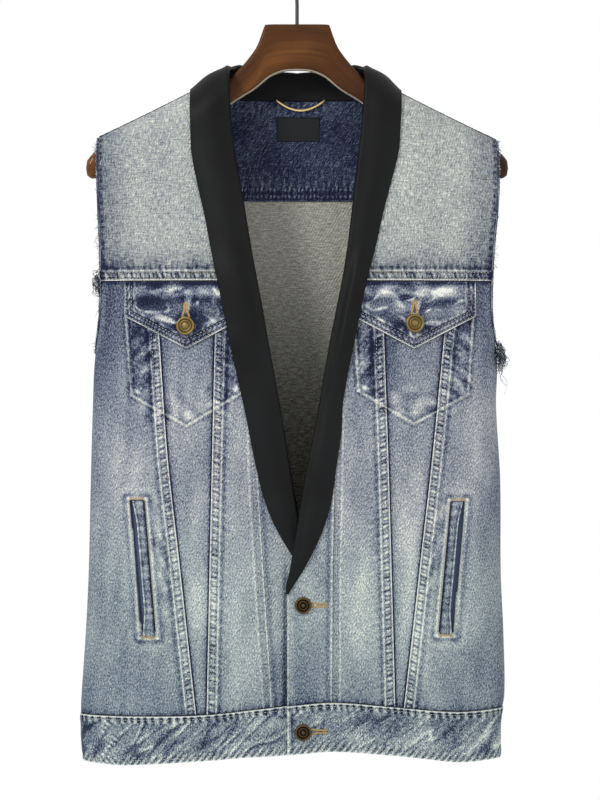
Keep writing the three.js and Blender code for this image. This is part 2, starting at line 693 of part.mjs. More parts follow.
// Top line of the back yoke: armhole, shoulder seam, neck seam and back to the other armhole
const collarPath = collarStations.map((row, i) => ({ ...row, t: i / (collarStations.length - 1) }));
function backYokeTop() {
  const half = [
    ...steps(4, shoulderHalf, neckHalfWidth + 5).map(x => ({ x, turn: shoulderSeam + shoulderSeamHalf })),
    { x: neckHalfWidth + 0.9, turn: shoulderSeam + 2 * shoulderSeamHalf },
    ...steps(8, 0.02, 1).map(t => ({
      x: read(collarPath, 't', 'neckX', t),
      turn: read(collarPath, 't', 'neckQ', t),
    })),
  ];
  return [...half, ...half.slice(0, -1).reverse().map(p => ({ x: -p.x, turn: p.turn }))];
}

function backYokes() {
  const bottom = backYokeSeamZ + seamGap / 2;
  const footShare = yokeFootHalf / neckHalfWidth;
  const top = backYokeTop();
  const grid = backYokeRows.map(v => top.map(({ x, turn }, j) => {
    const side = Math.sign(x);
    const out = Math.max(0, Math.abs(x) - neckHalfWidth) / (shoulderHalf - neckHalfWidth);
    const reach = out > 0 ? side * mix(yokeFootHalf, shoulderHalf, out) : x * footShare;
    const turnAt = at => mix(turn, turnOf('back', at, bottom), v);
    let at = mix(x, reach, v);
    if (j === 0 || j === top.length - 1) {
      for (let k = 0; k < 4; k++) at = sideX('back', side, topPoint(frontAt(x), at, turnAt(at)).z);
    }
    return onTop('back', at, turnAt(at));
  }));
  add('back_yoke', clothWall(grid, footBand(backYokeRows)), materials.denimLight);

  // Inner ply of the yoke, with its dark face to the inside
  const ply = grid.slice(1);
  const near = wall + laid;
  add('back_yoke_lining',
    solidBetween(ply.map(row => row.map(spot => lift(spot, -near))),
      ply.map(row => row.map(spot => lift(spot, -near - liningWall)))), materials.denimDark);
}

// Waistband: one strip from the underlap, round the back, to the overlap
function waistband() {
  const top = waistSeamZ - waistGap / 2;
  const rows = [top, top - bandEase, hemZ + bandEase, hemZ];
  const rise = [bandRise / 2, bandRise, bandRise, bandRise / 2];
  const corner = Math.PI / 2;
  const grid = rows.map(z => [
    ...steps(11, angleOf('right', underlapEdge, z), -corner).slice(0, -1).map(a => onBody('right', a, z)),
    ...steps(14, -corner, corner).map(a => onBody('back', a, z)),
    ...steps(11, corner, angleOf('left', overlapEdge, z)).slice(1).map(a => onBody('left', a, z)),
  ]);
  const band = clothWall(grid, i => rise[i], bandInside);
  add('waistband', withHole(band, onFace('left', frontButtonX, lowerButtonZ)), materials.denim);
}

// Shawl collar: one folded strip from break to break, its seam edge inside the fold
function collarSections() {
  const frontRows = (face, rows) => rows.slice(1).map(row => {
    const sign = face === 'left' ? 1 : -1;
    const z = Math.min(row.z, neckPointZ - 0.02);
    const x = neckX(face, z);
    const edgeX = row.edge;
    const edgeZ = Math.min(z, shoulderZ(edgeX) - 0.2);
    const rising = smooth(riseFromZ, neckPointZ, row.z) ** 1.4;
    const { riseX, riseZ, facing, edgeQ } = collarStations[0];
    return {
      neck: { x, turn: turnOf(face, x, z) },
      edge: { x: edgeX, turn: turnOf(face, edgeX, edgeZ) + edgeQ * smooth(-170, neckPointZ, row.z) },
      rise: new THREE.Vector3(riseX * sign * rising, 0, riseZ * rising),
      facing: mix(facingWidth, facing, smooth(-215, -140, row.z)) * smooth(-640, -560, row.z),
      width: Math.abs(edgeX - x),
      flap: smooth(-318, -330, row.z) * smooth(-412, -398, row.z),
      shoulder: smooth(riseFromZ, -170, row.z),
      face,
    };
  });
  const back = (sign, list) => list.map(row => ({
    neck: { x: sign * row.neckX, turn: row.neckQ },
    edge: { x: sign * row.edgeX, turn: row.edgeQ },
    rise: new THREE.Vector3(sign * row.riseX, row.riseY, row.riseZ),
    facing: row.facing,
    width: backCollarWidth,
    flap: 0,
    shoulder: 1,
    face: sign > 0 ? 'left' : 'right',
  }));
  return [
    ...frontRows('left', leftLapel).slice(0, -1),
    ...back(1, collarStations),
    ...back(-1, collarStations.slice(0, -1).reverse()),
    ...frontRows('right', rightLapel).slice(0, -1).reverse(),
  ];
}

function shawlCollar() {
  const sections = collarSections();
  const neckPoints = sections.map(s => onTop(s.face, s.neck.x, s.neck.turn));
  const middle = -wall / 2;
  const outLeaf = [0.13, 0.36, 0.64, 0.88, 1];
  const inLeaf = [1, 0.5];
  const turns = [-90, -30, 30, 90].map(a => a * deg);
  const grids = sections.map((s, k) => {
    const seam = neckPoints[k];
    const along = neckPoints[Math.min(k + 1, sections.length - 1)].p.clone()
      .sub(neckPoints[Math.max(k - 1, 0)].p).normalize();
    const inwards = seam.n.clone().cross(along).normalize();   // into the neck opening
    const crest = inwards.clone().multiplyScalar(6).add(s.rise).normalize();
    const proud = seam.n.clone().addScaledVector(crest, -seam.n.dot(crest)).normalize();
    const loft = lapelLoft * Math.min(1, s.width / 30);
    const points = [];
    for (const c of inLeaf) {
      const spot = seam.p.clone().addScaledVector(inwards, -s.facing * c);
      const leaf = s.facing > 5
        ? onTop(s.face, spot.x, turnOf(s.face, spot.x, spot.z))
        : { p: spot, n: seam.n };
      const normal = leaf.n.clone().lerp(proud, 1 - c).normalize();
      points.push({
        p: leaf.p.clone()
          .addScaledVector(s.rise, (1 - c) * 0.95)
          .addScaledVector(normal, middle - foldRadius),
        n: normal.clone().multiplyScalar(-1),
      });
    }
    for (const a of turns) {
      const direction = proud.clone().multiplyScalar(Math.sin(a)).addScaledVector(crest, Math.cos(a));
      points.push({
        p: seam.p.clone().add(s.rise).addScaledVector(proud, middle).addScaledVector(direction, foldRadius),
        n: direction,
      });
    }
    for (const c of outLeaf) {
      const x = mix(s.neck.x, s.edge.x, c);
      const spot = onTop(s.face, x, mix(s.neck.turn, s.edge.turn, c));
      const normal = spot.n.clone().lerp(proud, (1 - c) * 0.8).normalize();
      const rest = mix(middle + foldRadius, lapelRest + satin / 2, smooth(0, 0.6, c));
      const height = rest + loft * Math.sin(Math.PI * Math.min(1, c * 1.02)) ** 1.5
        + flapClearance * s.flap * smooth(0, 0.4, c) + shoulderEase * s.shoulder * c;
      points.push({
        p: spot.p.clone().addScaledVector(s.rise, (1 - c) ** 1.15).addScaledVector(normal, height),
        n: normal,
      });
    }
    return points;
  });
  const half = satin / 2;
  const outer = grids.map(row => row.map(q => q.p.clone().addScaledVector(q.n, half)));
  const inner = grids.map(row => row.map(q => q.p.clone().addScaledVector(q.n, -half)));
  add('shawl_collar', solidBetween(outer, inner), materials.satin);
}

// Pocket flap with a pointed foot, puffed between its edges, and the bag behind the panels
function chestPocketPieces() {
  for (const [face, pocket] of Object.entries(chestPockets)) {
    const top = yokeSeamZ - flapTopGap;
    const flap = steps(6).map(b => steps(10, -1, 1).map(a => {
      const foot = flapSideZ - flapDrop * (1 - Math.abs(a));
      return { spot: onFace(face, pocket.x + a * flapHalfWidth, mix(top, foot, b)), a, b };
    }));
    const towardsNeck = face === 'left' ? -1 : 1;
    const puff = ({ a, b }) => flapBase
      + flapPuff * Math.sin(Math.PI * b) ** 0.9 * smooth(1, 0.6, Math.abs(a))
      * smooth(0.55, -0.1, a * towardsNeck);
    const outer = flap.map(row => row.map(q => lift(q.spot, puff(q) + flapThickness)));
    const inner = flap.map(row => row.map(q => lift(q.spot, puff(q))));
    add(`pocket_flap_${face}`,
      withHole(solidBetween(outer, inner), onFace(face, pocket.x, pocket.buttonZ)), materials.denim);

    const bag = steps(5).map(b => steps(6, -1, 1).map(a => {
      const foot = pocket.bagZ - pocket.bagDrop * (1 - Math.abs(a));
      const half = mix(pocket.bagTop, pocket.bagFoot, b);
      return onFace(face, pocket.x + a * half, mix(top - bagDropTop, foot, b));
    }));
    const near = wall + bagClearance;
    add(`chest_pocket_bag_${face}`,
      solidBetween(bag.map(row => row.map(s => lift(s, -near))),
        bag.map(row => row.map(s => lift(s, -near - bagThickness)))),
      materials.bag);
  }
}

// Bag behind each slit pocket
function handPocketBags() {
  for (const [face, slit] of Object.entries(handPockets)) {
    const side = Math.sign(slit.topIn);
    const outAt = z => mix(slit.footOut, slit.topOut, (z - slit.footZ) / (slit.topZ - slit.footZ));
    const bag = steps(8, slit.footZ - handBagDepth, slit.topZ + handBagMargin).map(z => {
      const from = outAt(z) + side * handBagMargin;
      return steps(4, from, from - side * handBagWidth).map(x => onFace(face, x, z));
    });
    const near = wall + bagClearance;
    add(`hand_pocket_bag_${face}`,
      solidBetween(bag.map(row => row.map(s => lift(s, -near))),
        bag.map(row => row.map(s => lift(s, -near - bagThickness)))),
      materials.bag);
  }
}

// Tack button: a dished cap with a rolled rim, on a shank that reaches the cloth beneath
function button(name, size, spot, capHeight, shankFoot) {
  const { radius, height } = size;
  const foot = shankFoot - capHeight;
  const profile = [
    [0, foot], [shankRadius, foot], [shankRadius, 0], [radius * 0.9, 0], [radius, height * 0.35],
    [radius * 0.97, height * 0.8], [radius * 0.84, height], [radius * 0.66, height * 0.72],
    [radius * 0.3, height * 0.72], [0, height * 0.9],
  ].map(([r, h]) => new THREE.Vector2(r, h));
  const geometry = new THREE.LatheGeometry(profile, roundSides);
  geometry.deleteAttribute('normal');
  geometry.deleteAttribute('uv');
  const merged = mergeVertices(geometry, 1e-4);
  merged.applyQuaternion(new THREE.Quaternion().setFromUnitVectors(new THREE.Vector3(0, 1, 0), spot.n));
  const base = lift(spot, capHeight);
  merged.translate(base.x, base.y, base.z);
  add(name, facingOut(dropFlat(merged)), materials.brass);
}

// Leaves out triangles with two corners at one point, as on the axis of a lathe
function dropFlat(geometry) {
  const old = geometry.getIndex().array;
  const kept = [];
  for (let i = 0; i < old.length; i += 3) {
    const [a, b, c] = [old[i], old[i + 1], old[i + 2]];
    if (a !== b && b !== c && a !== c) kept.push(a, b, c);
  }
  geometry.setIndex(kept);
  return geometry;
}

function buttons() {
  for (const [face, pocket] of Object.entries(chestPockets)) {
    const cap = flapBase + flapPuff + flapThickness + capEase;
    button(`pocket_button_${face}`, pocketButton, onFace(face, pocket.x, pocket.buttonZ), cap, laid);
  }
  const apart = z => read(layers, 'z', 'apart', z);
  button('front_button_upper', frontButton, onFace('left', frontButtonX, upperButtonZ), laid,
    laid - apart(upperButtonZ) + shankEase);
  button('front_button_lower', frontButton, onFace('left', frontButtonX, lowerButtonZ),
    bandRise + laid, bandRise + laid - apart(lowerButtonZ) + shankEase);
}

// Label and loop inside the back of the neck
function neckFittings() {
  const depth = wall + laid + liningWall + laid;
  const patch = steps(2, label.z - label.height / 2, label.z + label.height / 2)
    .map(z => steps(4, label.x - label.width / 2, label.x + label.width / 2)
      .map(x => onFace('back', x, z)));
  add('neck_label',
    solidBetween(patch.map(row => row.map(s => lift(s, -depth))),
      patch.map(row => row.map(s => lift(s, -depth - label.thickness)))),
    materials.label);

  // Curved bar whose flattened ends rest against the collar's stand
  const y = onFace('back', 0, loop.z).p.y - wall / 2 - foldRadius - satin / 2 - laid - loop.radius;
  const bar = new THREE.CatmullRomCurve3(steps(8, -1, 1).map(t => new THREE.Vector3(
    loop.x + t * loop.halfSpan, y - loop.bow * (1 - t * t), loop.z - loop.sag * (1 - t * t))));
  add('neck_loop', tube(bar, loop.radius, 18, 8), materials.gilt);
}

// Closed tube along a curve
function tube(curve, radius, stepsAlong, sides) {
  const ring = new THREE.Shape(steps(sides, 0, 2 * Math.PI).slice(0, -1)
    .map(a => new THREE.Vector2(radius * Math.cos(a), radius * Math.sin(a))));
  const geometry = new THREE.ExtrudeGeometry(ring, { steps: stepsAlong, extrudePath: curve });
  geometry.deleteAttribute('normal');
  geometry.deleteAttribute('uv');
  return facingOut(dropFlat(mergeVertices(geometry, 1e-3)));
}

// Hanger: sections across the outline, boxy in the middle and round at the shoulder ends
function hanger() {
  const half = hangerOutline.slice(1);
  const stations = [
    ...[...half].reverse().map(row => ({ ...row, x: -row.x })), hangerOutline[0], ...half,
  ];
  const positions = [];
  const around = hangerDepthSegments;
  for (const row of stations) {
    const power = mix(hangerSidesPower, hangerTipPower, smooth(45, 110, Math.abs(row.x)));
    const middle = (row.top + row.bottom) / 2;
    const high = (row.top - row.bottom) / 2;
    for (let k = 0; k < around; k++) {
      const a = (k + 0.5) / around * 2 * Math.PI;
      const c = Math.sign(Math.cos(a)) * Math.abs(Math.cos(a)) ** (2 / power);
      const s = Math.sign(Math.sin(a)) * Math.abs(Math.sin(a)) ** (2 / power);
      positions.push(row.x, row.half * c, middle + high * s);
    }
  }
  const index = [];
  const at = (i, k) => i * around + k % around;
  for (let i = 0; i + 1 < stations.length; i++) {
    for (let k = 0; k < around; k++) {
      index.push(at(i, k), at(i + 1, k), at(i + 1, k + 1), at(i, k), at(i + 1, k + 1), at(i, k + 1));
    }
  }
  for (const [i, turned] of [[0, false], [stations.length - 1, true]]) {
    const row = stations[i];
    const centre = positions.length / 3;
    positions.push(row.x + Math.sign(row.x) * 1.2, 0, (row.top + row.bottom) / 2);
    for (let k = 0; k < around; k++) {
      index.push(...(turned ? [at(i, k), centre, at(i, k + 1)] : [at(i, k), at(i, k + 1), centre]));
    }
  }
  const body = facingOut(geometryOf(positions, index));
  const drill = new THREE.CylinderGeometry(
    hookWire + shankClearance, hookWire + shankClearance, 2 * (shankInWood + 1), 12);
  drill.rotateX(Math.PI / 2);
  drill.translate(0, 0, hangerOutline[0].top);
  add('hanger_body', fromManifold(toManifold(body).subtract(toManifold(drill))), materials.wood);

  // Hook: straight shank, a sideways bend, then a bow whose top inside is the origin
  const centreZ = -(hookRadius - hookWire);
  const bowStart = -50 * deg;
  const bowEnd = 205 * deg;
  const bow = steps(16, bowStart, bowEnd)
    .map(a => new THREE.Vector3(hookRadius * Math.cos(a), 0, centreZ + hookRadius * Math.sin(a)));
  const woodZ = hangerOutline[0].top;
  const shank = [
    new THREE.Vector3(0, 0, woodZ - shankInWood),
    new THREE.Vector3(0, 0, woodZ),
    new THREE.Vector3(0, 0, woodZ + shankLength * 0.6),
    new THREE.Vector3(0, 0, woodZ + shankLength),
    new THREE.Vector3(3.4, 0, woodZ + shankLength + 7),
    new THREE.Vector3(9.5, 0, woodZ + shankLength + 13),
  ];
  const wire = new THREE.CatmullRomCurve3([...shank, ...bow]);
  add('hanger_hook', tube(wire, hookWire, 44, 8), materials.steel);
}

// Frayed armhole: a thin strip beside the raw edge, with loose threads standing out of it
function armholeLoop(side) {
  const front = side > 0 ? 'left' : 'right';
  const lower = face => steps(8, 3 * deg, 90 * deg).map(a => {
    const z = armpitZ + armholeCurve * (1 - Math.cos(a) ** (2 / armholePower));
    return onBody(face, angleOf(face, sideX(face, side, z), z), z);
  });
  const upper = steps(12, -upperReach, upperReach).map(turn => {
    const edge = sideX(front, side, topPoint(front, side * shoulderHalf, turn).z);
    return onTop(front, edge, turn);
  });
  return [...lower(front), ...upper.slice(1, -1), ...lower('back').reverse()];
}

// Repeatable scatter
function scatter(seed) {
  let state = seed;
  return () => {
    state = (state * 1664525 + 1013904223) % 4294967296;
    return state / 4294967296;
  };
}

function frayedArmholes() {
  for (const [name, side, seed] of [['left', 1, 7], ['right', -1, 21]]) {
    const edge = armholeLoop(side);
    const count = edge.length;
    const frames = edge.map((spot, k) => {
      const along = edge[(k + 1) % count].p.clone().sub(edge[(k - 1 + count) % count].p).normalize();
      const out = along.clone().cross(spot.n).normalize().multiplyScalar(side);
      const centre = lift(spot, -wall / 2).addScaledVector(out, seamGap + frayStrip / 2 + 0.35);
      return { centre, out, n: spot.n, along };
    });
    const positions = frames.flatMap(({ centre, out, n }) => {
      const a = out.clone().multiplyScalar(frayStrip / 2);
      const b = n.clone().multiplyScalar(frayStrip / 2);
      return [[1, 1], [1, -1], [-1, -1], [-1, 1]].flatMap(([s, t]) =>
        centre.clone().addScaledVector(a, s).addScaledVector(b, t).toArray());
    });
    const index = [];
    for (let i = 0; i < count; i++) {
      const next = (i + 1) % count;
      for (let k = 0; k < 4; k++) {
        const m = (k + 1) % 4;
        index.push(i * 4 + k, next * 4 + k, next * 4 + m, i * 4 + k, next * 4 + m, i * 4 + m);
      }
    }
    let strip = toManifold(facingOut(geometryOf(positions, index)));
    const random = scatter(seed);
    for (let k = 0; k < strandsEach; k++) {
      const { centre, out, n, along } = frames[Math.floor(random() * count)];
      const length = 2 + 7 * random() ** 2;
      const tip = centre.clone().addScaledVector(out, length)
        .addScaledVector(along, (random() - 0.5) * length)
        .addScaledVector(n, (random() - 0.3) * length * 0.5);
      strip = strip.add(toManifold(strand(centre, tip, n)));
    }
    add(`armhole_fray_${name}`, fromManifold(strip), materials.thread);
  }
}

// One loose thread: a three-sided spike from root to tip
function strand(root, tip, n) {
  const axis = tip.clone().sub(root).normalize();
  const a = axis.clone().cross(n).normalize().multiplyScalar(0.34);
  const b = axis.clone().cross(a).normalize().multiplyScalar(0.34);
  const foot = [0, 1, 2].map(k => root.clone()
    .addScaledVector(a, Math.cos(k * 120 * deg)).addScaledVector(b, Math.sin(k * 120 * deg)));
  const head = [0, 1, 2].map(k => tip.clone()
    .addScaledVector(a, 0.5 * Math.cos(k * 120 * deg)).addScaledVector(b, 0.5 * Math.sin(k * 120 * deg)));
  const positions = [...foot, ...head].flatMap(v => v.toArray());
  const index = [0, 2, 1, 3, 4, 5];
  for (let k = 0; k < 3; k++) {
    const m = (k + 1) % 3;
    index.push(k, m, 3 + m, k, 3 + m, 3 + k);
  }
  return facingOut(geometryOf(positions, index));
}

bodyPanels();
frontYokes();
backYokes();
waistband();
shawlCollar();
chestPocketPieces();
handPocketBags();
buttons();
neckFittings();
hanger();
frayedArmholes();

export default vest;
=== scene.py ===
# A washed denim vest with a black satin shawl collar, hanging on a wooden hanger.
# Cloth sizes are millimetres, as they are cut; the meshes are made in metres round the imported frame.
# The front faces -Y, the wearer's left is at +X, and the origin is the top of the hook's inside.

import math

import bpy
import numpy as np
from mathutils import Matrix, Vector


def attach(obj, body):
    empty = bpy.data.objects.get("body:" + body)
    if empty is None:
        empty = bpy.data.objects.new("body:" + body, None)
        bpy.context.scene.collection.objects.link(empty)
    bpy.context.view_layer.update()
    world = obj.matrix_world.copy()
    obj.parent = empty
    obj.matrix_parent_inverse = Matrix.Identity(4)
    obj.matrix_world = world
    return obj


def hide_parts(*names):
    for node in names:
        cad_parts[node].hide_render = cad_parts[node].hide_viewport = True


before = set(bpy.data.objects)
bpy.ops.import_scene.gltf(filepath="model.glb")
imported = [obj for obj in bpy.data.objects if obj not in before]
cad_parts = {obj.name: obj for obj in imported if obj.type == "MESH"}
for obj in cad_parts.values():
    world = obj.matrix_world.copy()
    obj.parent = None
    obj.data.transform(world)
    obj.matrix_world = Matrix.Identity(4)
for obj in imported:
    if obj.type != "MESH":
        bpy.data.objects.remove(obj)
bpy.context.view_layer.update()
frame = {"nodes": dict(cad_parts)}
mm = 0.001
right, left, back = 0, 1, 2     # the two fronts, by the wearer's side, and the back
sides = {right: -1, left: 1}
sideNames = {right: "right", left: "left"}
print("frame:", len(frame["nodes"]), "nodes")


# Numbers
def smooth(a, b, value):
    t = np.clip((np.asarray(value, float) - a) / (b - a), 0, 1)
    return t * t * (3 - 2 * t)


def mix(a, b, t):
    return a + (b - a) * t


def ridge(value, centre, half):
    return np.exp(-(((value - centre) / half) ** 2))


def table(names, *rows):
    return dict(zip(names.split(), np.array(sorted(rows), float).T))


def read(columns, by, name, at):
    # smooth curve through one column of a table
    keys, values = columns[by], columns[name]
    at = np.clip(at, keys[0], keys[-1])
    k = np.clip(np.searchsorted(keys, at, side="right") - 1, 0, len(keys) - 2)
    count = np.arange(len(keys))
    before, after = np.maximum(count - 1, 0), np.minimum(count + 1, len(keys) - 1)
    slope = (values[after] - values[before]) / (keys[after] - keys[before])
    span = keys[k + 1] - keys[k]
    t = (at - keys[k]) / span
    s = 1 - t
    return (values[k] * (1 + 2 * t) * s * s + values[k + 1] * (1 + 2 * s) * t * t
            + span * (slope[k] * t * s * s - slope[k + 1] * s * t * t))


def wander(u, v, size, seed, waves=8):
    # soft random field from about -1 to 1, with blobs of about that size
    dice = np.random.default_rng(seed)
    total = 0
    for _ in range(waves):
        turn, length = dice.uniform(0, math.pi), size * dice.uniform(1.1, 2.4)
        shift = dice.uniform(0, 2 * math.pi)
        total = total + np.sin((u * math.cos(turn) + v * math.sin(turn)) * 2 * math.pi / length + shift)
    return total / math.sqrt(waves)


def beat(u, size, seed):
    # uneven regular wave, as puckers along a seam have
    dice = np.random.default_rng(seed)
    drift = sum(dice.uniform(0.5, 1.2) * np.sin(u / size * f + dice.uniform(0, 6)) for f in (0.9, 0.53, 0.31))
    return np.sin(2 * math.pi * u / size + drift)


def unit(vectors):
    return vectors / np.maximum(np.linalg.norm(vectors, axis=-1, keepdims=True), 1e-9)


def tangents(points):
    # direction along a run of points
    index = np.arange(len(points))
    return unit(points[np.minimum(index + 1, len(points) - 1)] - points[np.maximum(index - 1, 0)])


def walk(points):
    # distance walked along a run of points, or along each row of a grid of them
    steps = np.linalg.norm(np.diff(points, axis=-2), axis=-1)
    return np.concatenate([np.zeros_like(steps[..., :1]), np.cumsum(steps, axis=-1)], axis=-1)


# Form of the hanging body, the same as the solids have
form = {
    "squareness": 2.5, "topRound": 34, "armpitZ": -399.5, "armholeGape": 27, "armholeCurve": 130,
    "armholePower": 2.4, "neckHalf": 71.5, "neckPointZ": -133, "slope": 0.53, "bow": 0.00027,
    "shoulderHalf": 190, "shoulderSeam": -0.15, "overlapShare": 0.35, "wall": 1.5, "leftDrop": 2.2,
}
seamsAt = {"yoke": -330, "waist": -733, "waistGap": 0.6, "hem": -776, "backYoke": -250, "gap": 0.3}
bodyLevels = table("z right left front back",
    (-195, -189, 190, 33, 33), (-255, -187.8, 189.6, 38, 37), (-308, -185.8, 185.2, 41, 39),
    (-361, -187, 184.6, 43, 41), (-404, -193, 191, 44, 42), (-447, -195, 190, 44.5, 42.5),
    (-519, -197, 194, 45, 43), (-605, -199, 194.5, 45, 43), (-662, -202, 197, 43, 42),
    (-720, -206, 198, 40, 40), (-748, -206, 194, 39, 39), (-776, -203.5, 194, 38, 38))
frontSeams = {
    left: table("z band inner outer",
        (-330, 36.5, 80, 144), (-378, 36.5, 81.6, 139), (-498, 36, 85.8, 127),
        (-602, 34, 88.8, 115), (-733, 33.4, 92.5, 100.5)),
    right: table("z band inner outer",
        (-330, -37, -75.5, -134.5), (-378, -37.5, -77, -130), (-498, -37, -80, -121.4),
        (-602, -31.5, -82.4, -109.5), (-733, -23, -85.2, -94.8)),
}
backSeams = table("z inner", (-250, 112), (-500, 98), (-733, 84))
layers = table("z apart", (-430, 0), (-470, 4), (-505, 9.5), (-560, 10.5), (-622, 9.5), (-690, 5.5),
    (-733, 4), (-776, 4))
waistDrift = table("x up", (-205, -8), (-150, -8), (-85, -6), (-30, 0), (0, 3.5), (35, 6), (85, 2),
    (150, -4), (195, -2))
hemDrop = table("x down", (-205, 1.5), (-170, 3.4), (-140, 2.4), (-100, 0.6), (-55, 0.8), (-15, 3.2),
    (80, 2.8), (125, 3.2), (150, 4.5), (195, 4.5))
softFolds = [   # face, crest at its top and foot, half width, height
    (right, -168, -410, -178, -715, 9, 2.6), (right, -62, -470, -52, -700, 10, 1.9),
    (right, -118, -540, -124, -650, 9, -1.3), (right, -118, -215, -106, -320, 13, 1.6),
    (left, 171, -430, 166, -712, 10, 2.3), (left, 60, -480, 66, -705, 11, -1.8),
    (left, 120, -545, 124, -655, 9, -1.4), (left, 112, -212, 126, -318, 12, 1.6),
    (back, -140, -300, -150, -690, 15, 3), (back, 138, -320, 152, -700, 14, 2.8),
    (back, -38, -420, -46, -705, 16, -2.4), (back, 44, -380, 38, -660, 13, 2.2),
]
lapel = {
    left: table("z fold edge",
        (-626, -8.9, -8.4), (-617, -8.2, -3.2), (-606, -6.8, 4), (-590, -4, 12.8), (-572, -0.9, 21.2),
        (-558, 1.4, 26.4), (-544, 3.3, 30.6), (-530, 5.6, 33.4), (-503, 10.2, 37), (-475, 15.8, 41.2),
        (-447, 21.3, 42.8), (-419, 25.9, 47.4), (-392, 30.6, 52.6), (-364, 36.1, 58.2), (-328, 43.2, 66),
        (-298, 48, 73.8), (-268, 51.6, 80.5), (-239, 55, 88), (-209, 58.4, 95.5), (-193, 60.4, 97),
        (-180, 62.3, 97.5), (-168, 64.4, 98), (-158, 66.2, 98), (-150, 67.6, 98), (-143, 68.8, 98),
        (-133, 69.3, 98)),
    right: table("z fold edge",
        (-618, 19.5, 19.2), (-610, 16.6, 10.4), (-600, 13, 1.9), (-586, 9.3, -6.5), (-572, 5.6, -14.8),
        (-558, 1.9, -22.2), (-544, -0.4, -27.8), (-530, -2.8, -32.4), (-503, -7.4, -38.9),
        (-475, -12, -44.4), (-447, -16.6, -50), (-419, -21.7, -56.3), (-392, -26.8, -62),
        (-364, -31.5, -67.4), (-328, -38.2, -75), (-298, -43.8, -81.3), (-268, -48.6, -87),
        (-239, -53.7, -93.7), (-209, -59, -99.4), (-193, -61.2, -100.2), (-180, -63.2, -100.5),
        (-168, -64.9, -100.5), (-158, -66.4, -100.5), (-150, -67.6, -100.5), (-143, -68.8, -100.5),
        (-133, -69.3, -100.5)),
}
collar = {
    "thick": 1.4, "foldRadius": 2.5, "rest": 0.6, "loft": 2.4, "flapClearance": 4, "shoulderEase": 1,
    "facing": 9, "riseFromZ": -205, "backWidth": 40, "breakZ": -618,
    "tipZ": {left: -625.5, right: -616.5},
}
closing = {"edge": {left: -9, right: 20.5}, "bandTop": {left: -386, right: -354}}


def shoulderZ(x):
    out = np.abs(x) - form["neckHalf"]
    beyond = form["neckPointZ"] - form["slope"] * out + form["bow"] * out * out
    arch = form["slope"] * form["neckHalf"] / 2
    beyond = beyond - form["leftDrop"] * smooth(74, 100, x)
    return np.where(out > 0, beyond, form["neckPointZ"] + arch * (1 - (x / form["neckHalf"]) ** 2))


def gapeAt(z):
    share = np.clip((z - form["armpitZ"]) / form["armholeCurve"], 0, 1)
    power = form["armholePower"]
    return form["armholeGape"] * (1 - (1 - share) ** power) ** (1 / power)


def levelAt(face, z):
    low, high = read(bodyLevels, "z", "right", z), read(bodyLevels, "z", "left", z)
    depth = np.where(face == back, read(bodyLevels, "z", "back", z), read(bodyLevels, "z", "front", z))
    half = (high - low) / 2
    power = form["squareness"]
    opened = (1 - (gapeAt(z) / depth) ** power) ** (1 / power)
    return (low + high) / 2, half, half / opened, depth


def foldHeight(face, x, z):
    total = 0
    for where, topX, topZ, footX, footZ, half, height in softFolds:
        t = (z - topZ) / (footZ - topZ)
        fade = smooth(0, 0.3, t) * smooth(1, 0.75, t)
        total = total + (face == where) * height * fade * ridge(x, mix(topX, footX, t), half)
    return total


def layerShift(face, x, z):
    apart, share = read(layers, "z", "apart", z), form["overlapShare"]
    outward = -apart * share * smooth(125, 38, x)
    inward = apart * (1 - share) * smooth(-125, -38, x)
    return np.where(face == back, 0, np.where(face == left, outward, inward))


def settle(face, x, z, depth):
    side = np.where(face == back, 1.0, -1.0)
    y = side * (depth + foldHeight(face, x, z)) + layerShift(face, x, z)
    up = read(waistDrift, "x", "up", x) * smooth(-540, seamsAt["waist"], z)
    down = np.where(face == back, 0.5, 1) * read(hemDrop, "x", "down", x) * smooth(-742, seamsAt["hem"], z)
    return np.stack(np.broadcast_arrays(x, y, z + (up - down)), -1)


def roundPoint(face, angle, z):
    middle, _, width, depth = levelAt(face, z)
    power = 2 / form["squareness"]
    sine, cosine = np.sin(angle), np.cos(angle)
    across = np.sign(sine) * np.abs(sine) ** power
    deep = np.sign(cosine) * np.abs(cosine) ** power
    return settle(face, middle + width * across, z, depth * deep)


def angleOf(face, x, z):
    middle, _, width, _ = levelAt(face, z)
    share = np.clip((x - middle) / width, -1, 1)
    return np.sign(share) * np.arcsin(np.abs(share) ** (form["squareness"] / 2))


def sideX(face, side, z):
    middle, half, _, _ = levelAt(face, z)
    return middle + side * half


def sideAngle(face, side, z):
    depth = levelAt(face, z)[3]
    seam = np.arccos((seamsAt["gap"] / 2 / depth) ** (form["squareness"] / 2))
    return side * np.minimum(seam, np.abs(angleOf(face, sideX(face, side, z), z)))


def topPoint(front, x, turn):
    face = np.where(turn > 0, back, front)
    past = np.abs(turn) - math.pi / 2
    drop = form["topRound"] * np.where(past > 0, 1 + past, 1 - np.cos(turn))
    z = shoulderZ(x) - drop
    middle, _, width, depth = levelAt(face, z)
    power = form["squareness"]
    across = np.minimum(1, np.abs((x - middle) / width))
    deep = depth * (1 - across ** power) ** (1 / power)
    return settle(face, x, z, deep * np.where(past > 0, 1, np.abs(np.sin(turn))))


def turnOf(face, x, z):
    drop = np.maximum(0, shoulderZ(x) - z)
    share = drop / form["topRound"]
    turn = np.where(share > 1, math.pi / 2 + share - 1, np.arccos(np.clip(1 - share, -1, 1)))
    return np.where(face == back, 1.0, -1.0) * turn


def withNormal(at, a, b, stepA, stepB):
    along = at(a + stepA, b) - at(a - stepA, b)
    down = at(a, b + stepB) - at(a, b - stepB)
    return at(a, b), unit(np.cross(along, down))


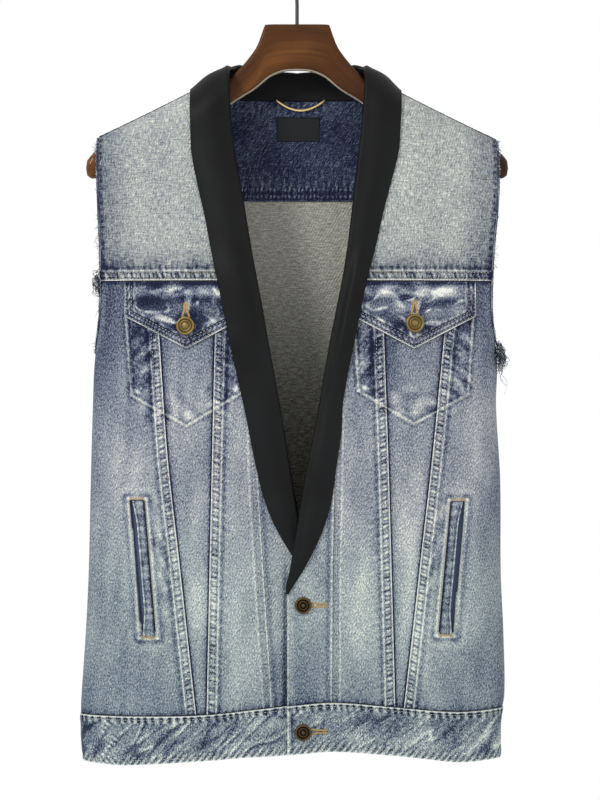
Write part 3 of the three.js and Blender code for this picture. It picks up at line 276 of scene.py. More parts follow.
def onBody(face, angle, z):
    angle, z = np.broadcast_arrays(np.asarray(angle, float), np.asarray(z, float))
    place, normal = withNormal(lambda a, b: roundPoint(face, a, b), angle, z, 1e-3, 0.05)
    return place, normal * (-1 if face == back else 1)


def onFace(face, x, z):
    x, z = np.broadcast_arrays(np.asarray(x, float), np.asarray(z, float))
    return onBody(face, angleOf(face, x, z), z)


def onTop(face, x, turn):
    x, turn = np.broadcast_arrays(np.asarray(x, float), np.asarray(turn, float))
    front = np.where(x > 0, left, right) if isinstance(face, int) and face == back else face
    return withNormal(lambda a, b: topPoint(front, a, b), x, turn, 0.05, 1e-3)


def neckX(face, z):
    folded = read(lapel[face], "z", "fold", z) + sides[face] * collar["foldRadius"]
    return mix(closing["edge"][face], folded, smooth(collar["breakZ"] - 4, collar["breakZ"] + 14, z))


def seamX(face, name, z):
    return read(frontSeams[face], "z", name, z)


# Meshes
def makeMesh(name, points, quads, values=None, material=None, triangles=None):
    points = np.asarray(points, float) * mm
    quads = np.asarray(quads, np.int64).reshape(-1, 4)
    triangles = np.zeros((0, 3), np.int64) if triangles is None else np.asarray(triangles, np.int64)
    a, b, c = points[quads[:, 0]], points[quads[:, 1]], points[quads[:, 2]]
    volume = (a * np.cross(b, c)).sum() + (a * np.cross(c, points[quads[:, 3]])).sum()
    if volume < 0:
        quads, triangles = quads[:, ::-1], triangles[:, ::-1]
    mesh = bpy.data.meshes.new(name)
    mesh.vertices.add(len(points))
    mesh.vertices.foreach_set("co", points.astype(np.float32).ravel())
    corners = np.concatenate([quads.ravel(), triangles.ravel()])
    starts = np.concatenate([np.arange(len(quads)) * 4, len(quads) * 4 + np.arange(len(triangles)) * 3])
    mesh.loops.add(len(corners))
    mesh.loops.foreach_set("vertex_index", corners.astype(np.int32))
    mesh.polygons.add(len(starts))
    mesh.polygons.foreach_set("loop_start", starts.astype(np.int32))
    mesh.polygons.foreach_set("use_smooth", np.ones(len(starts), bool))
    mesh.update(calc_edges=True)
    for key, value in (values or {}).items():
        value = np.asarray(value, np.float32)
        wide = value.ndim > 1
        layer = mesh.attributes.new(key, "FLOAT_VECTOR" if wide else "FLOAT", "POINT")
        layer.data.foreach_set("vector" if wide else "value", value.ravel())
    piece = bpy.data.objects.new(name + "_seen", mesh)
    bpy.context.scene.collection.objects.link(piece)
    if material:
        mesh.materials.append(material)
    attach(piece, "root")
    return piece


def gridQuads(rows, columns, start=0, wrapRows=False, wrapColumns=False):
    i = np.arange(rows if wrapRows else rows - 1)[:, None]
    j = np.arange(columns if wrapColumns else columns - 1)[None, :]
    m, n = (i + 1) % rows, (j + 1) % columns
    at = lambda a, b: start + a * columns + b
    return np.stack([at(i, j), at(m, j), at(m, n), at(i, n)], -1).reshape(-1, 4)


shell = {
    "bulge": 0.28, "rimInside": 0.35,   # the cut edge rounds out, and looks partly like the reverse
    "low": (-500, -640), "deep": (-290, -520),      # heights between which the face turns a little greener and the reverse takes painted shade
}


def makeShell(name, place, normal, rise, inward, values, material, reverse=1, skip=3):
    # closed cloth between an outer grid and a coarser inner one, edges rounded over
    rows, columns = place.shape[:2]
    rise = np.broadcast_to(rise, (rows, columns))
    inward = np.broadcast_to(inward, (rows, columns))
    outer = place + normal * rise[..., None]
    inner = place - normal * inward[..., None]
    middle = (outer + inner) / 2
    keptRows = np.unique(np.append(np.arange(0, rows, skip), rows - 1))
    keptColumns = np.unique(np.append(np.arange(0, columns, skip), columns - 1))
    kept = np.ix_(keptRows, keptColumns)
    inner = inner[kept]
    count, innerCount = rows * columns, len(keptRows) * len(keptColumns)
    rim = borderOf(rows, columns)
    out = unit(edgeOut(place).reshape(-1, 3)[rim])
    bulge = middle.reshape(-1, 3)[rim] + out * shell["bulge"]
    edge = count + innerCount + np.arange(len(rim))
    edgeNext = np.roll(edge, -1)
    # each kept border point of the inner face takes the edge points up to the next one
    innerRim = count + borderOf(len(keptRows), len(keptColumns))
    isKept = np.isin(rim // columns, keptRows) & np.isin(rim % columns, keptColumns)
    owner = np.cumsum(isKept) - 1
    following = (owner + 1) % len(innerRim)
    last = np.roll(isKept, -1)
    quads = np.concatenate([
        gridQuads(rows, columns), gridQuads(len(keptRows), len(keptColumns), count)[:, ::-1],
        np.stack([rim, edge, edgeNext, np.roll(rim, -1)], -1)[:, ::-1]])
    triangles = np.concatenate([
        np.stack([edge, innerRim[owner], edgeNext], -1)[:, ::-1],
        np.stack([edgeNext, innerRim[owner], innerRim[following]], -1)[last][:, ::-1]])
    points = np.concatenate([outer.reshape(-1, 3), inner.reshape(-1, 3), bulge])
    values = dict(values, **{key: smooth(*shell[key], place[..., 2]) for key in ("low", "deep")})
    full = {}
    for key, value in values.items():
        flat = np.asarray(value, float)
        flat = flat if flat.ndim == 3 else np.broadcast_to(flat, (rows, columns))[..., None]
        whole = flat.reshape(count, -1)
        whole = np.concatenate([whole, flat[kept].reshape(innerCount, -1), whole[rim]])
        full[key] = whole if whole.shape[1] > 1 else whole[:, 0]
    full["inside"] = reverse * np.concatenate([
        np.zeros(count), np.ones(innerCount), np.full(len(rim), shell["rimInside"])])
    return makeMesh(name, points, quads, full, material, triangles)


def borderOf(rows, columns):
    # the points of a grid's border, in order round it
    return np.concatenate([
        np.arange(rows) * columns, (rows - 1) * columns + np.arange(1, columns),
        np.arange(rows - 2, -1, -1) * columns + columns - 1, np.arange(columns - 2, 0, -1)])


def edgeOut(place):
    # direction away from the piece at the border of its grid
    out = np.zeros_like(place)
    out[0] += place[0] - place[1]
    out[-1] += place[-1] - place[-2]
    out[:, 0] += unit(place[:, 0] - place[:, 1])
    out[:, -1] += unit(place[:, -1] - place[:, -2])
    return out


def clothPlace(place):
    # flat position on the cloth for the weave, metres: across from the row's first point, and up
    sign = np.sign(place[0, -1, 0] - place[0, 0, 0]) or 1
    across = place[:, :1, 0] + sign * walk(place)
    return np.stack([across, np.zeros_like(across), place[..., 2]], -1) * mm


def flatSize(place):
    # width, length and area of the cut, metres
    width = np.linalg.norm(np.diff(place, axis=1), axis=-1).sum(1).max()
    length = np.linalg.norm(np.diff(place, axis=0), axis=-1).sum(0).max()
    diagonalA, diagonalB = place[1:, 1:] - place[:-1, :-1], place[1:, :-1] - place[:-1, 1:]
    area = np.linalg.norm(np.cross(diagonalA, diagonalB), axis=-1).sum() / 2
    return width * mm, length * mm, area * mm * mm


cuts = {}
leastWidth = 0.0105     # metres; the narrow welt turns under at its edge


def standsFor(node):
    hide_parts(node)


def declareCloth(piece, node, place):
    standsFor(node)
    width, length, area = flatSize(place)
    width = max(width, leastWidth)
    cuts[piece.name] = (width, length, area)


def makeCloth(name, place, normal, rise, inward, wash, slotName, rests="hanger_body", **more):
    values = {"wash": wash, "cloth": clothPlace(place)}
    piece = makeShell(name, place, normal, rise, inward, values, finishes[slotName], **more)
    declareCloth(piece, name, place)
    return piece


def ringOffsets(across, deep, sides):
    # offsets round each place of a tube, from its two cross directions
    angle = np.arange(sides) / sides * 2 * math.pi
    return across[:, None] * np.cos(angle)[None, :, None] + deep[:, None] * np.sin(angle)[None, :, None]


def fanCaps(count, sides):
    # triangles that close a tube of rings; its two end points come after the rings
    k = np.arange(sides)
    m, last = (k + 1) % sides, (count - 1) * sides
    start = np.full(sides, count * sides)
    return np.concatenate([np.stack([start, k, m], -1), np.stack([start + 1, last + m, last + k], -1)])


# Materials
def linear(hexColour):
    parts = [int(hexColour[i:i + 2], 16) / 255 for i in (1, 3, 5)]
    return [p / 12.92 if p <= 0.04045 else ((p + 0.055) / 1.055) ** 2.4 for p in parts] + [1.0]


def addNode(tree, kind, settings=None, inputs=None):
    # one node with its settings; an input takes a value, a socket or another node's first output
    node = tree.nodes.new("ShaderNode" + kind)
    for key, value in (settings or {}).items():
        setattr(node, key, value)
    for key, value in (inputs or {}).items():
        if isinstance(value, bpy.types.Node):
            value = value.outputs[0]
        if isinstance(value, bpy.types.NodeSocket):
            tree.links.new(value, node.inputs[key])
        else:
            node.inputs[key].default_value = value
    return node


def newMaterial(name):
    material = bpy.data.materials.new(name)
    material.use_nodes = True
    material.node_tree.nodes.clear()
    return material, material.node_tree


def finishMaterial(tree, inputs):
    surface = addNode(tree, "BsdfPrincipled", inputs=inputs)
    addNode(tree, "OutputMaterial", inputs={"Surface": surface})


def fillRamp(node, stops, convert=linear):
    ramp = node.color_ramp
    while len(ramp.elements) > 1:
        ramp.elements.remove(ramp.elements[-1])
    ramp.elements[0].position = stops[0][0]
    ramp.elements[0].color = convert(stops[0][1])
    for place, colour in stops[1:]:
        ramp.elements.new(place).color = convert(colour)
    return node


lightGain = 1.36    # white cloth reads this much brighter than its own colour under the studio light


def asSeen(hexColour):
    return [part / lightGain for part in linear(hexColour)[:3]] + [1.0]


denimLook = {
    "ramp": [(0.0, "#1b2038"), (0.17, "#353d56"), (0.33, "#5e687d"), (0.5, "#858d98"),
             (0.66, "#a5abb1"), (0.82, "#bdc1c1"), (1.0, "#f2f2ea")],
    "yokeRamp": [(0.0, "#1b2038"), (0.17, "#363d53"), (0.33, "#606976"), (0.5, "#878e92"),
                 (0.66, "#a6abaa"), (0.82, "#bfc3bc"), (1.0, "#efefe6")],
    "reverse": [(0.0, "#33332d"), (0.3, "#5c5b54"), (0.6, "#8e8e86"), (1.0, "#c9c8bd")],
    "yarn": 1.25,        # mm; real yarns are 0.5 mm apart, drawn coarser so that they show
    "run": 7,            # mm; how long a yarn keeps its shade
    "spread": 3.4,       # how far a share of 1 shifts the shade
    "paintedInsideShade": -0.36,       # painted shade: the reverse is darker towards the waist, as deep inside the body
    "lowTint": (0.93, 1.0, 0.965, 1.0),   # the lower half has faded a little greener
}


def washedDenim(name, warpShare=0.14, fillShare=0.12, grainShare=0.42, cloudShare=0.05, shades="ramp"):
    # indigo cotton twill, stone washed: matt, speckled, pale where it rubs and dark in hollows; the wash it
    # reads also carries painted shade beside seams, and the reverse takes painted shade towards the waist
    look = denimLook
    material, tree = newMaterial(name)
    wash, inside, low, deep = (addNode(tree, "Attribute", {"attribute_name": key}).outputs["Fac"]
                               for key in ("wash", "inside", "low", "deep"))
    place = addNode(tree, "Attribute", {"attribute_name": "cloth"}).outputs["Vector"]
    yarn, run = 1 / (look["yarn"] * mm), 1 / (look["run"] * mm)

    def yarnShade(scale, sharp=0.6, lean=0.0):
        mapped = addNode(tree, "Mapping", inputs={
            "Vector": place, "Scale": scale, "Rotation": (0, math.radians(lean), 0)})
        return addNode(tree, "TexNoise", inputs={
            "Vector": mapped, "Scale": 1.0, "Detail": 2.0, "Roughness": sharp})

    warp, fill = yarnShade((yarn, 1, run)), yarnShade((run, 1, yarn))
    grain = yarnShade((yarn * 1.1, 1, yarn * 0.6), 0.8, lean=24)
    cloud = yarnShade((60, 1, 34))
    value = wash
    for field, share in ((warp, warpShare), (fill, fillShare), (grain, grainShare), (cloud, cloudShare)):
        centred = addNode(tree, "Math", {"operation": "SUBTRACT"}, {0: field, 1: 0.5})
        value = addNode(tree, "Math", {"operation": "MULTIPLY_ADD"}, {
            0: centred, 1: share * look["spread"], 2: value})
    ramp = fillRamp(addNode(tree, "ValToRGB", inputs={"Fac": value}), look[shades], asSeen)
    tinted = addNode(tree, "Mix", {"data_type": "RGBA", "blend_type": "MULTIPLY"}, {
        0: low, 6: ramp, 7: look["lowTint"]})
    # the reverse shows the undyed weft
    weft = addNode(tree, "Math", {"operation": "MULTIPLY_ADD"}, {0: fill, 1: 0.9, 2: grain})
    # painted shade: the reverse darkens towards the waist
    paintedInsideShade = addNode(tree, "Math", {"operation": "MULTIPLY_ADD"}, {0: deep, 1: look["paintedInsideShade"], 2: weft})
    shifted = addNode(tree, "Math", {"operation": "SUBTRACT"}, {0: paintedInsideShade, 1: 0.3})
    reverse = fillRamp(addNode(tree, "ValToRGB", inputs={"Fac": shifted}), look["reverse"])
    colour = addNode(tree, "Mix", {"data_type": "RGBA"}, {0: inside, 6: tinted.outputs[2], 7: reverse})
    # right-hand twill: fine diagonal ribs
    tilt = addNode(tree, "Mapping", inputs={"Vector": place, "Rotation": (0, math.radians(-28), 0)})
    twill = addNode(tree, "TexWave", {"wave_type": "BANDS", "bands_direction": "X"}, {
        "Vector": tilt, "Scale": yarn / 6.6, "Distortion": 2.2, "Detail": 2.0, "Detail Scale": 3.0})
    height = addNode(tree, "Math", {"operation": "MULTIPLY_ADD"}, {
        0: grain, 1: 1.6, 2: twill.outputs["Fac"]})
    bump = addNode(tree, "Bump", inputs={"Height": height, "Strength": 0.8, "Distance": 0.0005})
    finishMaterial(tree, {
        "Base Color": colour.outputs[2], "Normal": bump, "Roughness": 0.92,
        "Specular IOR Level": 0.1, "Sheen Weight": 0.04, "Sheen Roughness": 0.5})
    return material


def plainCloth(name, colour, roughness, rib, bumpSize):
    # close plain weave with a faint rib, for the parts that hardly show
    material, tree = newMaterial(name)
    place = addNode(tree, "Attribute", {"attribute_name": "cloth"}).outputs["Vector"]
    weave = addNode(tree, "TexNoise", inputs={"Vector": place, "Scale": 1 / (rib * mm), "Detail": 3.0})
    shade = fillRamp(addNode(tree, "ValToRGB", inputs={"Fac": weave}), colour)
    bump = addNode(tree, "Bump", inputs={"Height": weave, "Strength": 0.4, "Distance": bumpSize})
    finishMaterial(tree, {
        "Base Color": shade, "Normal": bump, "Roughness": roughness, "Specular IOR Level": 0.15})
    return material


def makeSatin():
    # black satin: very dark, its long floats give a soft narrow gleam along the folds
    material, tree = newMaterial("black satin")
    place = addNode(tree, "Attribute", {"attribute_name": "cloth"}).outputs["Vector"]
    # ribs drawn at 0.9 mm, real floats are 0.2 mm apart
    ribs = addNode(tree, "Mapping", inputs={"Vector": place, "Scale": (1100, 1, 90)})
    floats = addNode(tree, "TexNoise", inputs={"Vector": ribs, "Scale": 1.0, "Detail": 3.0})
    cloud = addNode(tree, "TexNoise", inputs={"Vector": place, "Scale": 16.0, "Detail": 2.0})
    shade = fillRamp(addNode(tree, "ValToRGB", inputs={"Fac": cloud}), [(0.3, "#0e0e0f"), (0.7, "#151617")])
    bump = addNode(tree, "Bump", inputs={"Height": floats, "Strength": 0.5, "Distance": 0.00012})
    finishMaterial(tree, {
        "Base Color": shade, "Normal": bump, "Roughness": 0.55, "Specular IOR Level": 0.1})
    return material


def metal(name, bright, dark, roughness, hollows=0.75):
    # cast metal: polished where it is touched, darker and duller in the hollows
    material, tree = newMaterial(name)
    value = addNode(tree, "TexNoise", inputs={"Scale": 900.0, "Detail": 4.0})
    if hollows:
        hollow = addNode(tree, "Attribute", {"attribute_name": "hollow"}).outputs["Fac"]
        value = addNode(tree, "Math", {"operation": "MULTIPLY_ADD"}, {0: hollow, 1: hollows, 2: value})
    shade = fillRamp(addNode(tree, "ValToRGB", inputs={"Fac": value}), [(0.4, bright), (1.0, dark)])
    finishMaterial(tree, {"Base Color": shade, "Metallic": 1.0, "Roughness": roughness})
    return material


def makeWood():
    # stained beech under clear lacquer: fine lengthwise grain, short dark flecks, a clear gloss
    material, tree = newMaterial("lacquered beech")
    grain = addNode(tree, "Attribute", {"attribute_name": "grain"}).outputs["Vector"]
    paintedArmLight, rim = (addNode(tree, "Attribute", {"attribute_name": key}).outputs["Fac"]
                 for key in ("paintedArmLight", "rim"))    # painted light, paler towards the right arm, and a pale edge under its arch that is a painted highlight
    lines, bands = (addNode(tree, "TexNoise", inputs={
        "Vector": addNode(tree, "Mapping", inputs={"Vector": grain, "Scale": scale}),
        "Scale": 1.0, "Detail": detail}) for scale, detail in (((9, 260, 340), 4.0), ((12, 26, 26), 2.0)))
    value = addNode(tree, "Math", {"operation": "MULTIPLY_ADD"}, {0: lines, 1: 0.35, 2: bands})
    toned = addNode(tree, "Math", {"operation": "ADD"}, {0: value, 1: paintedArmLight})
    shade = fillRamp(addNode(tree, "ValToRGB", inputs={"Fac": toned}),
                     [(0.42, "#341905"), (0.7, "#4f2c0c"), (0.95, "#70441c")], asSeen)
    # the cream line along the lower front edge of the arch is a painted highlight
    wearAndHighlight = addNode(tree, "Mix", {"data_type": "RGBA"}, {0: rim, 6: shade, 7: asSeen("#f1e6cf")})
    bump = addNode(tree, "Bump", inputs={"Height": lines, "Strength": 0.1, "Distance": 0.0001})
    finishMaterial(tree, {
        "Base Color": wearAndHighlight.outputs[2], "Normal": bump, "Roughness": 0.55, "Specular IOR Level": 0.12,
        "Coat Weight": 0.06, "Coat Roughness": 0.2, "IOR": 1.5})
    return material


def plainPaint(name, colour, roughness, level=0.5):
    # lacquer, wall paint or tight thread: one colour with faint flecks
    material, tree = newMaterial(name)
    fleck = addNode(tree, "TexNoise", inputs={"Scale": 300.0, "Detail": 2.0})
    shade = fillRamp(addNode(tree, "ValToRGB", inputs={"Fac": fleck}), colour)
    finishMaterial(tree, {"Base Color": shade, "Roughness": roughness, "Specular IOR Level": level})
    return material


def makeThread():
    # cotton thread fluffed out of the cloth, from indigo to bare white
    material, tree = newMaterial("frayed cotton")
    wash = addNode(tree, "Attribute", {"attribute_name": "wash"}).outputs["Fac"]
    shade = fillRamp(addNode(tree, "ValToRGB", inputs={"Fac": wash}),
                     [(0.05, "#23283a"), (0.35, "#56606f"), (1.0, "#d4d6d0")])
    finishMaterial(tree, {"Base Color": shade, "Roughness": 0.95, "Specular IOR Level": 0.1})
    return material


# The finish of each material slot, and the few that are finer than their slot
finishes = {
    "body_denim": washedDenim("washed denim", grainShare=0.52),
    "waistband_denim": washedDenim("waistband denim", grainShare=0.7),
    "yoke_denim": washedDenim("faded yoke denim", 0.27, 0.25, 0.28, 0.02, "yokeRamp"),
    "dark_denim": washedDenim("unwashed indigo denim", 0.28, 0.18, 0.28, 0.04),
    "pocket_cloth": plainCloth("pocket cotton", [(0.3, "#39455c"), (0.7, "#4d5a72")], 0.95, 0.8, 0.0002),
    "label_cloth": plainCloth("woven label", [(0.3, "#131416"), (0.7, "#212326")], 0.7, 0.5, 0.0001),
    "satin": makeSatin(),
    "brass": metal("antique brass", "#877449", "#54462a", 0.5),
    "gilt": metal("polished pale gold", "#e2c98f", "#c9ab6c", 0.2, hollows=0),
    "loose_thread": makeThread(),
    "hanger_wood": makeWood(),
    "hook_wire": plainPaint("black lacquered wire", [(0.3, "#141415"), (0.7, "#1a1a1c")], 0.35),
}
bronze = metal("dark bronze", "#5d5039", "#1b140d", 0.5)
sewingThreads = {
    "pale": plainPaint("pale cotton thread", [(0.3, "#97978f"), (0.7, "#bab9af")], 0.8, 0.15),
    "amber": plainPaint("amber cotton thread", [(0.3, "#967640"), (0.7, "#c2a362")], 0.75, 0.2),
}
floorPaint = plainPaint("pale studio floor", [(0.3, "#e9e9e9"), (0.7, "#efefef")], 0.9, 0.1)
print("materials made")


# Wash of the cloth: 0 is unfaded indigo, 1 is worn white
washes = {
    "heights": table("z pale", (-776, 0.42), (-738, 0.5), (-715, 0.55), (-677, 0.61), (-630, 0.64),
                     (-574, 0.595), (-536, 0.575), (-489, 0.57), (-430, 0.5), (-390, 0.42),
                     (-345, 0.36), (-330, 0.33)),
    "patches": [   # face, place, half widths across and up, and how much paler
        (right, -165, -500, 26, 40, 0.05), (right, -172, -385, 24, 55, -0.03),
        (right, -108, -450, 20, 50, 0.06), (right, -98, -590, 14, 90, 0.08),
        (right, -50, -600, 12, 90, 0.09), (right, -56, -677, 16, 45, 0.1), (right, -62, -400, 14, 40, -0.06),
        (right, -150, -650, 30, 50, -0.09), (right, -165, -700, 40, 30, -0.06),
        (right, -16, -690, 12, 50, -0.04), (right, -60, -535, 16, 30, -0.03),
        (left, 172, -462, 24, 50, 0.16), (left, 168, -365, 20, 40, 0.02),
        (left, 108, -610, 14, 80, 0.23), (left, 60, -600, 20, 80, 0.12), (left, 58, -530, 20, 40, -0.06),
        (left, 62, -400, 14, 40, -0.06), (left, 12, -690, 24, 40, -0.1), (left, 16, -574, 20, 30, -0.07),
        (left, 150, -560, 14, 60, -0.07), (left, 168, -690, 30, 40, -0.04),
        (back, 0, -420, 70, 90, 0.1), (back, -120, -520, 40, 120, -0.06),
        (back, 130, -500, 40, 110, -0.05), (back, 0, -640, 60, 60, 0.04),
    ],
}


def bodyWash(face, x, z):
    pale = read(washes["heights"], "z", "pale", z)
    for where, atX, atZ, wide, high, more in washes["patches"]:
        if where == face:
            pale = pale + more * ridge(x, atX, wide) * ridge(z, atZ, high)
    pale = pale + 0.05 * wander(x, z * 0.5, 36, 5 + face) + 0.03 * wander(x, z * 0.25, 9, 15 + face)
    middle, half, _, _ = levelAt(face, z)
    return pale - 0.12 * smooth(0.86, 1.0, np.abs(x - middle) / half)


# Felled seam: a fold edge, two sewn lines with grooves, and puckers between and beside them
felled = {"width": 9.2, "rise": 0.7, "lines": (1.9, 7.5), "groove": 0.3, "pucker": 0.16, "pitch": 7.2,
          "tick": 3.9}
softSeam = {    # beside the front band
    "lines": (2.8, 6.6), "shift": {left: 1.8, right: 0}, "sewnFrom": {left: -455, right: -420}}


def felledBand(d, along, seed):
    # d is the distance from the fold edge, negative on the piece beneath
    on = smooth(-0.4, 0.7, d) * smooth(felled["width"] + 1.4, felled["width"] - 0.4, d)
    grooves = sum(ridge(d, line, 0.8) for line in felled["lines"]) * (d > 0)
    rope = beat(along + 0.5 * d, felled["pitch"], seed) + 0.5 * wander(along, d, 9, seed + 1)
    near = smooth(24, 9, d) * smooth(-0.5, 0.5, d)
    tick = beat(along + 0.3 * d, felled["tick"], seed + 2)
    between = smooth(1.4, 2.8, d) * smooth(8, 6.6, d)
    height = (felled["rise"] * on - felled["groove"] * grooves + felled["pucker"] * rope * near
              + felled["pucker"] * tick * between)
    # beyond the band's inner line, and on the piece beneath next to the fold edge, the cloth is darker:
    # painted shade of the raised band, partly unfaded indigo
    pale = (0.56 * ridge(d, 0.4, 0.75) * (d > -0.2) + 0.34 * ridge(d, 9.1, 0.9) - 0.32 * grooves
            + (0.02 + 0.28 * tick + 0.1 * rope) * between - 0.24 * ridge(d, 11.8, 1.9)
            + 0.08 * rope * near)
    beneath = (d < 0) * (-0.75 * ridge(d, -0.1, 1.2) - 0.13 * smooth(-8, 0, d))
    return height, pale + beneath


def bandSeam(d, along, seed):
    # the front band's seam is softer: two rubbed ridges, and darker on the band's side with painted shade of
    # the seam's edge, partly unfaded indigo
    rope = beat(along, 7.6, seed)
    tick = beat(along, felled["tick"], seed + 3)
    grooves = sum(ridge(d, line, 0.8) for line in softSeam["lines"])
    height = 0.5 * ridge(d, 0.6, 1.5) + 0.4 * ridge(d, 8.4, 1.5) - 0.2 * grooves
    pale = ((0.26 + 0.08 * rope) * ridge(d, 0.4, 1.1) + (0.2 - 0.07 * rope) * ridge(d, 8.5, 1.1)
            - 0.16 * grooves + 0.1 * tick * ridge(d, 4.7, 1.3) - 0.2 * ridge(d, -2.8, 2.4))
    return height, pale


chestPockets = {
    right: {"x": -103.8, "buttonZ": -373, "bagTop": 57.5, "bagFoot": 52.6, "bagZ": -438, "bagDrop": 29},
    left: {"x": 109.8, "buttonZ": -370.5, "bagTop": 56.5, "bagFoot": 52, "bagZ": -437, "bagDrop": 28},
}
handPockets = {
    right: {"topZ": -537, "topIn": -144.5, "topOut": -157, "footZ": -660, "footIn": -133.5, "footOut": -146},
    left: {"topZ": -538, "topIn": 145.5, "topOut": 158, "footZ": -661, "footIn": 134, "footOut": 146.5},
}


def toLine(x, z, ax, az, bx, bz):
    # distance from a straight line between two points, and the place along it
    dx, dz = bx - ax, bz - az
    length = math.hypot(dx, dz)
    t = np.clip(((x - ax) * dx + (z - az) * dz) / length ** 2, 0, 1)
    return np.hypot(x - ax - t * dx, z - az - t * dz), t * length


def bagCorners(face):
    p = chestPockets[face]
    x, sign = p["x"], -sides[face]      # towards the middle of the front
    return [(x - sign * p["bagTop"], -364), (x - sign * p["bagFoot"], p["bagZ"]),
            (x, p["bagZ"] - p["bagDrop"]), (x + sign * p["bagFoot"], p["bagZ"] + 3),
            (x + sign * p["bagTop"], -364)]


def slitCorners(face, wider, longer):
    # a frame round the hand pocket's slit, from the top's inner corner round to the foot's
    slit, out = handPockets[face], sides[face] * wider
    top, foot = slit["topZ"] + longer, slit["footZ"] - longer
    return [(slit["topIn"] - out, top), (slit["topOut"] + out, top), (slit["footOut"] + out, foot),
            (slit["footIn"] - out, foot)]


def pocketMarks(face, x, z):
    # the sewn outline of the chest bag and the frame of the hand pocket, on the panels in front
    corners, side = bagCorners(face), sides[face]
    height, pale, dark = 0, 0, 0
    for k in range(4):
        d, along = toLine(x, z, *corners[k], *corners[k + 1])
        rope = beat(along, 6.5, 40 + k)
        height = np.maximum(height, (0.35 + 0.15 * rope) * ridge(d, 0, 1.3))
        pale = np.maximum(pale, (0.44 + 0.14 * rope) * ridge(d, 0.2, 0.8))
        dark = np.maximum(dark, 0.16 * ridge(d, 2.6, 1.1))
    pale = pale - dark
    (outX, outZ), (middle, tipZ), (inX, inZ) = corners[1:4]
    spots = ((middle, tipZ + 10, 5.5, 4.5, 0.4), (outX - side * 6, outZ + 2, 4, 4, 0.5),
             (inX + side * 6, inZ + 3, 4, 5, 0.5), (middle - 22, tipZ + 20, 11, 4, 0.15),
             (middle + 22, tipZ + 20, 11, 4, 0.15))
    for atX, atZ, wide, high, more in spots:
        across, up = (x - atX) / wide, (z - atZ) / high
        square = np.exp(-(np.abs(across + up) ** 3) - np.abs(across - up) ** 3)
        pale = pale + more * square * (1 + 0.35 * wander(x, z, 6, 3))
    out = np.abs(x - middle)
    lean = np.where(x > middle, 1, -1)
    strip = smooth(26, 34, out) * smooth(58, 54, out) * smooth(-448, -428, z) * (z < -330)
    mottle = wander(x + 0.7 * lean * z, 0.45 * z, 6.5, 61 + face)
    inner = smooth(48, 40, out) * smooth(tipZ - 2, tipZ + 10, z) * smooth(tipZ + 44, tipZ + 26, z)
    shade = 0.16 + 0.08 * lean * side if face == right else 0.1
    pale = (pale - shade * strip + 0.15 * strip * (mottle + 0.7 * wander(x, z, 3.2, 63))
            + 0.12 * inner * wander(x, z, 10, 65 + face))
    height = height + 0.45 * strip * mottle + 0.3 * inner * wander(x, z, 12, 66)

    slit, corners = handPockets[face], slitCorners(face, 2.4, 1.5)
    for k in range(4):
        d, _ = toLine(x, z, *corners[k - 1], *corners[k])
        height = height + 0.25 * ridge(d, 1.2, 1.6)
        pale = pale + 0.34 * ridge(d, 0.3, 0.9) - 0.14 * ridge(d, 3.6, 1.8) + 0.05 * ridge(d, 9, 3)
    t = (z - slit["footZ"]) / (slit["topZ"] - slit["footZ"])
    inner = side * (mix(slit["footIn"], slit["topIn"], t) - x)
    beside = smooth(2, 5, inner) * smooth(24, 10, inner) * smooth(-0.1, 0.1, t) * smooth(1.1, 0.9, t)
    whisker = wander(x - 0.7 * side * z, z * 0.35, 10, 33 + face)
    for sx, sz, ex, ez in ((133, -578, 120, -607), (134, -560, 124, -578), (131, -600, 122, -622)):
        d, along = toLine(x, z, side * sx, sz, side * ex, ez)
        pale = pale + 0.22 * ridge(d, 0, 1.1) * smooth(0, 6, along) - 0.08 * ridge(d, 3.2, 2)
        height = height + 0.4 * ridge(d, 0, 1.6)
    return height + 0.4 * beside * whisker, pale + 0.09 * beside * whisker


def frontMarks(face, x, z):
    # relief and paleness that seams and pockets give a front
    side = sides[face]
    inner = side * (seamX(face, "inner", z) - x)
    outer = side * (x - seamX(face, "outer", z))
    h1, p1 = felledBand(inner, z, 11 + face)
    h2, p2 = felledBand(outer, z * 1.01, 21 + face)
    onPanel = (outer < 0) & (inner < 0)
    h1, h2 = np.where(inner >= 0, h1, 0), np.where(outer >= 0, h2, 0)
    band = side * (x - seamX(face, "band", z))
    h3, p3 = bandSeam(band + softSeam["shift"][face], z, 31 + face)
    h4, p4 = pocketMarks(face, x, z)
    # below the break, a dark line on the right front beside the overlap's edge is painted shadow of the left
    # front
    shade = -0.34 * smooth(-588, -615, z) * ridge(x, closing["edge"][left] - 2.4, 2.2) * (face == right)
    # a dark line below the yoke's edge: painted shade, partly unfaded indigo
    yokeEdgeShade = -0.32 * ridge(z, seamsAt["yoke"], 2.6)
    waist = seamsAt["waist"]
    # dark lines just above the waistband seam: painted shade, partly unfaded indigo
    aboveWaist = (-0.16 - 0.12 * beat(x, 7, 3)) * ridge(z, waist, 5) - 0.4 * ridge(z, waist, 1.2)
    waistPucker = 0.3 * ridge(z, waist, 14) * beat(x, 9, 8)
    return (h1 + h2 + h3 + h4 * np.where(onPanel, 1, 0.7) + waistPucker,
            p1 + p2 + p3 + shade + p4 + yokeEdgeShade + aboveWaist)


